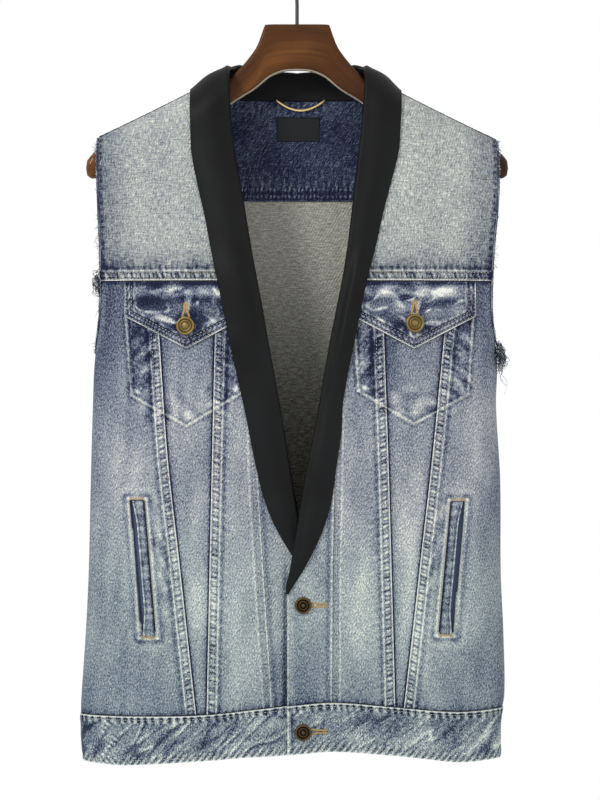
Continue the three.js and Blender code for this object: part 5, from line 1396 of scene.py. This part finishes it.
def makeButtons():
    pocketLines = [(0.57, 0.8, 0.1), (0.52, 0.8, 0.1), (0.48, 0.69, 0.8), (0.34, 0.68, 0.7), (0.3, 0.74, 0.2),
                   (0.2, 0.8, 0.1), (0.08, 0.84, 0)]
    frontLines = [(0.55, 0.76, 0.4), (0.5, 0.8, 0.2), (0.44, 0.76, 0.4), (0.36, 0.68, 0.9), (0.24, 0.7, 0.7),
                  (0.19, 0.78, 0.2), (0.08, 0.86, 0.1)]
    cap = flap["base"] + flap["puff"] + flap["thick"] + buttons["capEase"]
    for face, pocket in chestPockets.items():
        spot, normal = onFace(face, pocket["x"], pocket["buttonZ"])
        makeButton(f"pocket_button_{sideNames[face]}", buttons["pocket"], spot, normal, cap, 0.3,
                   finishes["brass"], pocketLines)
    names = ("front_button_upper", "front_button_lower")
    for name, z, out in zip(names, frontButtons["z"], (0, band["rise"])):
        spot, normal = onFace(left, frontButtons["x"], z)
        apart = float(read(layers, "z", "apart", np.array(z)))
        makeButton(name, buttons["front"], spot, normal, out + 0.3, out + 0.4 - apart, bronze, frontLines)


makeButtons()


# Label and loop inside the back of the neck
label = {"x": 0.9, "z": -181, "width": 40.5, "height": 23, "thick": 0.8}
loop = {"x": 3.3, "halfSpan": 23.5, "z": -152.8, "sag": 10, "bow": 0.8, "radius": 1.15}


def makeLabel():
    depth = form["wall"] + lining["gap"] + lining["ply"] + lining["gap"]
    wide, high = label["width"] / 2, label["height"] / 2
    x, z = np.meshgrid(np.linspace(label["x"] - wide, label["x"] + wide, 34),
                       np.linspace(label["z"] - high, label["z"] + high, 20))
    place, normal = onFace(back, x, z)
    edge = np.minimum(wide - np.abs(x - label["x"]), high - np.abs(z - label["z"]))
    soft = 0.12 * wander(x, z, 14, 151) - 0.2 * ridge(edge, 0, 0.8)
    makeCloth("neck_label", place, normal, -depth, depth + label["thick"] + soft, 0, "label_cloth",
              "back_yoke_lining", skip=1)


def makeTube(name, centres, radii, sides, slotName, flatten=1.0):
    # closed tube along a line of centres, with its own radius at each; flattened along the second axis
    along = tangents(centres)
    side = unit(np.cross(along, np.array([0.0, 1.0, 0.013])))
    ring = ringOffsets(side, np.cross(along, side) * flatten, sides)
    points = centres[:, None] + ring * radii[:, None, None]
    points = np.concatenate([points.reshape(-1, 3), centres[:1], centres[-1:]])
    piece = makeMesh(name, points, gridQuads(len(centres), sides, wrapColumns=True), None, finishes[slotName],
                     fanCaps(len(centres), sides))
    standsFor(name)


def makeLoop():
    y = float(onFace(back, 0.0, loop["z"])[0][1]) - form["wall"] / 2 - collar["foldRadius"]
    y -= collar["thick"] / 2 + 0.3 + loop["radius"]
    t = np.linspace(-1, 1, 49)
    curve = np.stack([loop["x"] + t * loop["halfSpan"], y - loop["bow"] * (1 - t * t),
                      loop["z"] - loop["sag"] * (1 - t * t)], -1)
    makeTube("neck_loop", curve, loop["radius"] * mix(0.62, 1, smooth(1, 0.86, np.abs(t))), 14, "gilt", 0.72)


makeLabel()
makeLoop()
print("buttons and neck fittings made")


# Wooden hanger: boxy in the middle and round at the shoulder ends; its hook above
hangerRows = table("x top bottom half",
    (0, -84, -127.5, 8.5), (13, -84, -128.6, 8.5), (25, -84, -133.2, 8.5), (30.5, -84.4, -137.2, 8.5),
    (32, -88, -138.4, 8.5), (35, -97, -141, 8.5), (38.5, -105.5, -144, 8.6), (43.5, -113, -147.5, 8.7),
    (51, -122.5, -152, 8.9), (58, -130, -156.3, 9.2), (65, -137.8, -161, 9.6), (74, -141.8, -166, 10.4),
    (88, -145.7, -173.5, 12), (106, -155, -183, 13.6), (126, -165.1, -193.5, 14.8),
    (146, -175, -204.5, 15.2), (164, -183.8, -215, 15), (178, -193, -223.5, 14), (189, -202, -229.5, 12),
    (196, -208, -231, 9), (200.5, -213.5, -228, 5))
hanger = {"middlePower": 6, "tipPower": 2.2, "around": 44, "topZ": -84,
          "wire": 1.7, "bow": 24, "shank": 30, "inWood": 16}


def makeHanger():
    half = np.concatenate([
        np.linspace(0, 30, 9)[:-1], np.linspace(30, 34, 7)[:-1], np.linspace(34, 200.5, 64)])
    x = np.concatenate([-half[:0:-1], half])
    at = np.abs(x)
    top, bottom, deep = (read(hangerRows, "x", key, at) for key in ("top", "bottom", "half"))
    top = np.where(at > 36, top, np.interp(at, hangerRows["x"], hangerRows["top"]))     # sharp by the neck
    power = mix(hanger["middlePower"], hanger["tipPower"], smooth(45, 110, at))[:, None]
    count, around = len(x), hanger["around"]
    angle = (np.arange(around) + 0.5) / around * 2 * math.pi
    across, up = (np.sign(wave) * np.abs(wave) ** (2 / power) for wave in (np.cos(angle), np.sin(angle)))
    middle, high = (top + bottom)[:, None] / 2, (top - bottom)[:, None] / 2
    points = np.stack([x[:, None] + 0 * across, deep[:, None] * across, middle + high * up], -1)
    ends = [(x[0] - 1.2, 0, middle[0, 0]), (x[-1] + 1.2, 0, middle[-1, 0])]
    points = np.concatenate([points.reshape(-1, 3), ends])
    # the grain follows each arm: lengthwise place, depth, and height across the arm
    lean = np.concatenate([np.broadcast_to(middle, up.shape).ravel(), middle[0], middle[-1]])
    grain = np.stack([points[:, 0], points[:, 1], points[:, 2] - lean], -1) * mm
    turn = np.degrees(angle)[None, :]
    # a painted highlight: a pale line along the lower front edge of the arch, near the middle
    rim = smooth(241, 249, turn) * smooth(282, 270, turn) * smooth(74, 66, at)[:, None]
    rim = np.concatenate([rim.ravel(), [0, 0]])
    paintedArmLight = -0.13 * np.clip(points[:, 0] / 60, -1, 1)     # painted light: paler towards the right arm, on the window lamp's side
    piece = makeMesh("hanger_body", points, gridQuads(count, around, wrapColumns=True),
                     {"grain": grain, "rim": 0.85 * rim, "paintedArmLight": paintedArmLight}, finishes["hanger_wood"],
                     fanCaps(count, around))
    standsFor("hanger_body")

    bow, woodZ = hanger["bow"], hanger["topZ"]
    centreZ, top = hanger["wire"] - bow, woodZ + hanger["shank"]
    path = [(0, woodZ - hanger["inWood"]), (0, woodZ), (0, woodZ + hanger["shank"] * 0.6), (0, top),
            (3.4, top + 7), (9.5, top + 13)]
    path += [(bow * math.cos(a), centreZ + bow * math.sin(a)) for a in np.radians(np.linspace(-50, 205, 17))]
    path = np.array(path, float)
    line = {"k": np.arange(len(path), dtype=float), "x": path[:, 0], "z": path[:, 1]}
    k = np.linspace(0, len(path) - 1, 150)
    centres = np.stack([read(line, "k", "x", k), 0 * k, read(line, "k", "z", k)], -1)
    reach = np.minimum(np.arange(len(k)), len(k) - 1 - np.arange(len(k)))
    radii = hanger["wire"] * np.where(reach < 2, 0.72 + 0.14 * reach, 1)
    makeTube("hanger_hook", centres, radii, 16, "hook_wire")


makeHanger()
print("hanger made")


# Raw armholes: tufts of frayed thread along the edge, a loop on one and a clump on the other
fray = {"strands": 1500, "radius": 0.23, "strip": 1.5, "clump": 0.3, "upper": 2.2, "gap": 0.3}


def armholeEdge(face):
    side = sides[face]
    a = np.radians(np.linspace(3, 90, 40))
    z = form["armpitZ"] + form["armholeCurve"] * (1 - np.cos(a) ** (2 / form["armholePower"]))
    loops = []
    for cloth in (face, back):
        place, normal = onBody(cloth, angleOf(cloth, sideX(cloth, side, z), z), z)
        loops.append((place, normal))
    turn = np.linspace(-fray["upper"], fray["upper"], 90)[1:-1]
    edge = sideX(face, side, topPoint(face, np.full_like(turn, side * form["shoulderHalf"]), turn)[..., 2])
    place, normal = onTop(face, edge, turn)
    places = np.concatenate([loops[0][0], place, loops[1][0][::-1]])
    normals = np.concatenate([loops[0][1], normal, loops[1][1][::-1]])
    along = unit(np.roll(places, -1, 0) - np.roll(places, 1, 0))
    out = unit(np.cross(along, normals)) * side
    return places, normals, along, out


def threadMesh(lines, radius, sides=3):
    # many thin threads as one mesh: each line is an array of centres
    points, quads, caps = [], [], []
    start = 0
    for centres, thick in zip(lines, radius):
        count = len(centres)
        along = tangents(centres)
        side = unit(np.cross(along, np.array([0.31, 0.87, 0.38])))
        taper = thick * mix(1, 0.45, np.arange(count) / (count - 1))
        ring = ringOffsets(side, np.cross(along, side), sides)
        points.append((centres[:, None] + ring * taper[:, None, None]).reshape(-1, 3))
        quads.append(gridQuads(count, sides, start, wrapColumns=True))
        last = start + (count - 1) * sides
        caps += [(start, start + 1, start + 2), (last, last + 2, last + 1)]
        start += count * sides
    return np.concatenate(points), np.concatenate(quads), np.array(caps)


def makeFray():
    dice = np.random.default_rng(5)
    for face in sides:
        places, normals, along, out = armholeEdge(face)
        count = len(places)
        index = np.arange(count)
        # rolled raw edge with a lumpy outline
        centre = places - normals * form["wall"] / 2 + out * (fray["gap"] + fray["strip"] / 2)
        lumps = 0.28 * wander(index * 1.0, index * 0.37, 3.1, 161 + face)
        centre = centre + normals * lumps[:, None] * 0.6
        radius = fray["strip"] / 2 * (0.95 + 0.4 * lumps)
        points = (centre[:, None] + ringOffsets(out, normals, 6) * radius[:, None, None]).reshape(-1, 3)
        quads = gridQuads(count, 6, wrapRows=True, wrapColumns=True)
        lines = []
        for _ in range(fray["strands"]):
            k = dice.integers(count)
            tuft = np.clip(math.sin(k * 0.31) * math.sin(k * 0.113 + face) * 1.6, 0, 1)
            length = 0.7 + (1.1 + 4.2 * tuft) * dice.random() ** 2
            bend = dice.normal(0, 0.5, 3)
            t = np.linspace(0, 1, 5)[:, None]
            tip = out[k] * dice.uniform(0.35, 1) + along[k] * dice.normal(0, 0.8)
            tip = (tip + normals[k] * dice.normal(0.15, 0.45)) * length
            lines.append(centre[k] + tip * t + bend * length * 0.9 * t * (1 - t))
        lines += longThreads(face, places)
        thick = np.where(np.arange(len(lines)) < fray["strands"], fray["radius"], fray["clump"])
        strands, strandQuads, caps = threadMesh(lines, thick)
        quads = np.concatenate([quads, strandQuads + len(points)])
        shades = dice.choice([0.05, 0.1, 0.3, 0.85, 1], len(strands) // 15 + 1)
        shades[fray["strands"]:] *= dice.choice([0.15, 0.4, 0.8], len(shades) - fray["strands"])
        pale = np.concatenate([np.repeat(0.15 + 0.3 * (lumps > 0.1), 6),
                               np.repeat(shades, 15)[:len(strands)]])
        name = f"armhole_fray_{sideNames[face]}"
        piece = makeMesh(name, np.concatenate([points, strands]), quads, {"wash": pale},
                         finishes["loose_thread"], caps + len(points))
        standsFor(name)


def longThreads(face, places):
    # a loose loop and the tuft where the yoke seam ends on the right, a clump with ends on the left
    lines = []
    dice = np.random.default_rng(17 + face)
    front = places[:100]
    t = np.linspace(0, 1, 26 if face == right else 22)[:, None]

    def nearest(z):
        return front[np.argmin(np.abs(front[:, 2] - z))]

    def curl(a, b, bulge, wave, turns=3):
        lines.append(mix(a, b, t) + np.array(bulge) * np.sin(math.pi * t)
                     + np.array(wave) * np.sin(turns * math.pi * t))

    if face == right:
        curl(nearest(-212), nearest(-236), [-7.5, -2.4, 0], [0, 0, 2.6], 2)
        curl(nearest(-212), nearest(-236), [6, -3.4, 0], [2, 0, 1], 5)
        for _ in range(70):
            a, b = nearest(dice.uniform(-340, -318)), nearest(dice.uniform(-346, -320))
            bulge = [-dice.uniform(0.5, 8), dice.uniform(-3, 1), dice.uniform(-3, 3)]
            curl(a, b, bulge, dice.normal(0, 0.7, 3))
    else:
        for _ in range(110):
            a, b = nearest(dice.uniform(-402, -386)), nearest(dice.uniform(-402, -390))
            b = b + np.array([dice.uniform(0.5, 3.5), dice.uniform(-5, -1), -dice.uniform(0, 19)])
            bulge = [dice.uniform(0.5, 7.5), dice.uniform(-4, 1), dice.uniform(-6, 3)]
            curl(a, b, bulge, dice.normal(0, 1.6, 3))
        a = nearest(-402) + np.array([2.5, -2, -8])
        for reach, drop, wave in ((5.5, 30, 2.2), (3, 17, -1.6), (7, 22, 1.4)):
            curl(a, a + np.array([reach, -2.5, -drop]), 0, [wave, 0, 0], 3.2)
    return lines


makeFray()
print("frayed edges made")


# Sewing thread: short rounded stitches whose ends dip into the cloth
sewing = {"length": 2.5, "pitch": 3.4, "radius": 0.3, "rise": 0.22, "dip": 0.24}
holes = {"start": 11.5, "end": 28.5, "step": 0.8}     # buttonholes beside the front buttons
stitches = {"pale": [], "amber": []}


def sewAlong(colour, place, normal, pitch=None, length=None, radius=None):
    # place and normal follow a line on the cloth; a stitch goes at every step of the pitch
    pitch, length = pitch or sewing["pitch"], length or sewing["length"]
    radius, dip = radius or sewing["radius"], sewing["dip"]
    run = walk(place)
    at = np.arange(pitch / 2, run[-1] - length / 2, pitch)

    def read3(values, spots):
        return np.stack([np.interp(spots, run, values[:, k]) for k in range(3)], -1)

    ends = [read3(place, at + shift) for shift in (-length / 2, -length * 0.2, length * 0.2, length / 2)]
    up = unit(read3(normal, at))
    across = np.cross(unit(ends[3] - ends[0]), up)
    rings = []
    for end, high, thick in zip(ends, (-dip, sewing["rise"], sewing["rise"], -dip), (0.55, 1, 1, 0.55)):
        for a in (0.25, 0.75, 1.25, 1.75):
            rings.append(end + up * (high + radius * thick * math.sin(a * math.pi))
                         + across * radius * thick * math.cos(a * math.pi))
    stitches[colour].append(np.stack(rings, 1))


def makeStitches():
    template = np.concatenate([gridQuads(4, 4, wrapColumns=True), [(3, 2, 1, 0), (12, 13, 14, 15)]])
    for colour, groups in stitches.items():
        points = np.concatenate(groups)
        quads = template[None] + (np.arange(len(points)) * 16)[:, None, None]
        piece = makeMesh(f"sewing_{colour}", points.reshape(-1, 3), quads, None, sewingThreads[colour])
        print("stitches,", colour, len(points))


def sewOn(face, x, z, height, colour="pale", **more):
    place, normal = onFace(face, x, z)
    sewAlong(colour, place + normal * np.reshape(height, (-1, 1)), normal, **more)


def sewFront(face, x, z, colour="pale", **more):
    sewOn(face, x, z, frontMarks(face, x, z)[0], colour, **more)


def sewLine(face, start, end, count, colour="pale", **more):
    t = np.linspace(0, 1, count)
    sewFront(face, mix(start[0], end[0], t), mix(start[1], end[1], t), colour, **more)


def sewPanels():
    top, foot = seamsAt["yoke"] - 2, seamsAt["waist"] + 3
    for face, side in sides.items():
        z = np.linspace(top, foot, 300)
        for offset in felled["lines"]:
            sewFront(face, seamX(face, "inner", z) - side * offset, z)
            sewFront(face, seamX(face, "outer", z) + side * offset, z)
        low = np.linspace(softSeam["sewnFrom"][face], foot, 240)
        for offset in softSeam["lines"]:
            sewFront(face, seamX(face, "band", low) + side * (offset - softSeam["shift"][face]), low)
        if face == left:
            edge = np.linspace(collar["breakZ"] - 3, foot, 80)
            sewFront(face, neckX(face, edge) + side * 2.4, edge)
        corners = bagCorners(face)
        for start, end in zip(corners[:-1], corners[1:]):
            sewLine(face, start, end, 60, pitch=2.9, length=2.6)
        frame = slitCorners(face, 1.6, 1.6)
        for start, end in ((frame[0], frame[3]), (frame[1], frame[2])):
            sewLine(face, start, end, 90, pitch=2.7, length=2.6, radius=0.42)
        slit = handPockets[face]
        for inner, outer, z0 in ((slit["topIn"], slit["topOut"], slit["topZ"] + 1.2),
                                 (slit["footIn"], slit["footOut"], slit["footZ"] - 1.4)):
            for z in (z0, z0 + 1.1):
                sewLine(face, (inner - side, z), (outer + side * 1.5, z), 20, "amber", pitch=1.5, length=1.9,
                        radius=0.4)
        sewYoke(face, side)
        for offset in flap["lines"]:
            sewFlap(face, offset)
        sewHoles(face)


def sewYoke(face, side):
    # the seam's upper row is amber on the outer part of the yoke's foot
    for offset in felled["lines"]:
        z = np.full(120, seamsAt["yoke"] + seamsAt["gap"] / 2 + offset)
        x = np.linspace(neckX(face, z[:1])[0] + side, sideX(face, side, z[:1])[0] - side * 2, 120)
        place, normal = onTop(face, x, turnOf(face, x, z))
        lifted = place + normal * felledBand(0 * x + offset, x, 81 + face)[0][:, None]
        amber = (offset > 5) & (np.abs(x) < 108)
        for colour, mask in (("amber", amber), ("pale", ~amber)):
            if mask.sum() > 4:
                sewAlong(colour, lifted[mask], normal[mask])


def sewFlap(face, offset):
    slope, top = flap["drop"] / flap["half"], seamsAt["yoke"] - flap["topGap"]
    a = np.linspace(-1, 1, 121) * (1 - offset / flap["half"])
    height = flap["sideZ"] - flap["drop"] * (1 - np.abs(a)) + offset * math.hypot(1, slope)
    sideZ = np.linspace(top - 3, height[0], 20)[:-1]
    a = np.concatenate([np.full(19, a[0]), a, np.full(19, a[-1])])
    z = np.concatenate([sideZ, height, sideZ[::-1]])
    foot = flap["sideZ"] - flap["drop"] * (1 - np.abs(a))
    x, _, puff = flapShape(face, a, (top - z) / (top - foot))
    sewOn(face, x, z, puff + (flap["thick"] + flapMarks(face, x, z)[0]))


def sewHoles(face):
    # buttonhole above each pocket button: close bars on both sides of a slit that widens to an eye
    pocket = chestPockets[face]
    top, foot = seamsAt["yoke"] - flap["topGap"], flap["sideZ"] - flap["drop"]
    for z in np.arange(pocket["buttonZ"] + 6, pocket["buttonZ"] + 21.5, holes["step"]):
        wide = 0.05 + 1.7 * smooth(pocket["buttonZ"] + 17, pocket["buttonZ"] + 8, z)
        for side in (-1, 1):
            x = pocket["x"] + side * (wide + np.linspace(0, 2.5, 6))
            _, _, puff = flapShape(face, (x - pocket["x"]) / flap["half"], (top - z) / (top - foot))
            high = puff + flap["thick"] + np.maximum(flapMarks(face, x, z)[0], 0) + 0.1
            sewOn(face, x, z, high, "amber", pitch=2.4, length=2.2, radius=0.48)


def sewBands():
    # buttonholes of the placket and the waistband, level, beside the front buttons
    for z in frontButtons["z"]:
        for side in (-1, 1):
            for x in np.arange(holes["start"], holes["end"], holes["step"]):
                wide = 0.35 + 0.9 * smooth(20, 13, x)
                row = z + side * (wide + np.linspace(0, 2.0, 6)) - 0.06 * (x - holes["start"])
                if z < seamsAt["waist"]:
                    high = band["rise"] + 0.6
                else:
                    high = np.maximum(frontMarks(left, x, row)[0], 0) + 0.2
                sewOn(left, x, row, high, "amber", pitch=1.8, length=1.7, radius=0.46)
    top, foot = seamsAt["waist"] - seamsAt["waistGap"] / 2, seamsAt["hem"]
    for z in (top - 3.2, foot + 4):
        for face, start, end in ((right, 19, -203), (left, -7, 194), (back, -203, 193)):
            sewOn(face, np.linspace(start, end, 220), z, band["rise"] - 0.1)
    # the front edge of the overlap
    sewOn(left, closing["edge"][left] + 2.6, np.linspace(top - 4, foot + 5, 30), band["rise"])


def sewBack():
    z = np.linspace(seamsAt["backYoke"] - 2, seamsAt["waist"] + 3, 300)
    for side in (-1, 1):
        for offset in felled["lines"]:
            x = side * (read(backSeams, "z", "inner", z) + offset)
            sewOn(back, x, z, backMarks(x, z)[0])
    bottom = seamsAt["backYoke"] + seamsAt["gap"] / 2
    for offset in felled["lines"]:
        x = np.linspace(-186, 186, 240)
        place, normal = onTop(back, x, turnOf(back, x, bottom + offset))
        sewAlong("pale", place + normal * felledBand(0 * x + offset, x, 91)[0][:, None], normal)
    for side in (-1, 1):
        for offset in felled["lines"]:
            x = side * np.linspace(form["neckHalf"] + 4, form["shoulderHalf"] - 2, 90)
            place, normal = onTop(back, x, form["shoulderSeam"] + 0.01 + offset / form["topRound"])
            sewAlong("pale", place + normal * 0.45, normal)


sewPanels()
sewBands()
sewBack()
makeStitches()


# Floor, light and camera
def makeFloor():
    count, radius, z = 96, 900, -1000
    angle = np.arange(count) / count * 2 * math.pi
    rim = np.stack([radius * np.cos(angle), radius * np.sin(angle), 0 * angle], -1)
    points = np.concatenate([rim + [0, 0, z], rim + [0, 0, z - 10]])
    mesh = bpy.data.meshes.new("floor")
    faces = [tuple(range(count)), tuple(range(2 * count - 1, count - 1, -1))]
    faces += [(k, k + count, (k + 1) % count + count, (k + 1) % count) for k in range(count)]
    mesh.from_pydata([tuple(p * mm) for p in points], [], faces)
    mesh.update()
    floor = bpy.data.objects.new("floor", mesh)
    bpy.context.scene.collection.objects.link(floor)
    mesh.materials.append(floorPaint)


def addLight(name, place, aim, size, power):
    lamp = bpy.data.lights.new(name, "AREA")
    lamp.shape, lamp.size, lamp.energy = "DISK", size, power
    holder = bpy.data.objects.new(name, lamp)
    holder.location = place
    direction = np.array(aim, float) - np.array(place, float)
    holder.rotation_euler = Vector(direction).to_track_quat("-Z", "Y").to_euler()
    bpy.context.scene.collection.objects.link(holder)


def makeStage():
    makeFloor()
    world = bpy.data.worlds.new("white studio")
    bpy.context.scene.world = world
    world.use_nodes = True
    world.node_tree.nodes["Background"].inputs["Color"].default_value = (1, 1, 1, 1)
    world.node_tree.nodes["Background"].inputs["Strength"].default_value = 1.0
    addLight("window side", (-1.3, -1.6, 0.7), (0, 0, -0.45), 0.55, 30)
    addLight("fill side", (1.6, -1.5, -0.1), (0, 0, -0.45), 1.0, 5)
    view = bpy.context.scene.view_settings
    view.view_transform, view.look, view.exposure, view.gamma = "Standard", "None", 0, 1
    camera = bpy.data.cameras.new("photo")
    camera.lens, camera.sensor_width, camera.clip_end = 114.9, 36, 20
    holder = bpy.data.objects.new("photo", camera)
    holder.location = (0.0028, -2.44, -0.4425)
    holder.rotation_euler = (math.radians(90), 0, 0)
    bpy.context.scene.collection.objects.link(holder)
    bpy.context.scene.camera = holder


makeStage()
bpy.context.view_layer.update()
for name, (width, length, area) in cuts.items():
    print("cut:", name, round(width * 1000), "x", round(length * 1000), "mm,", round(area * 1e4), "cm2")
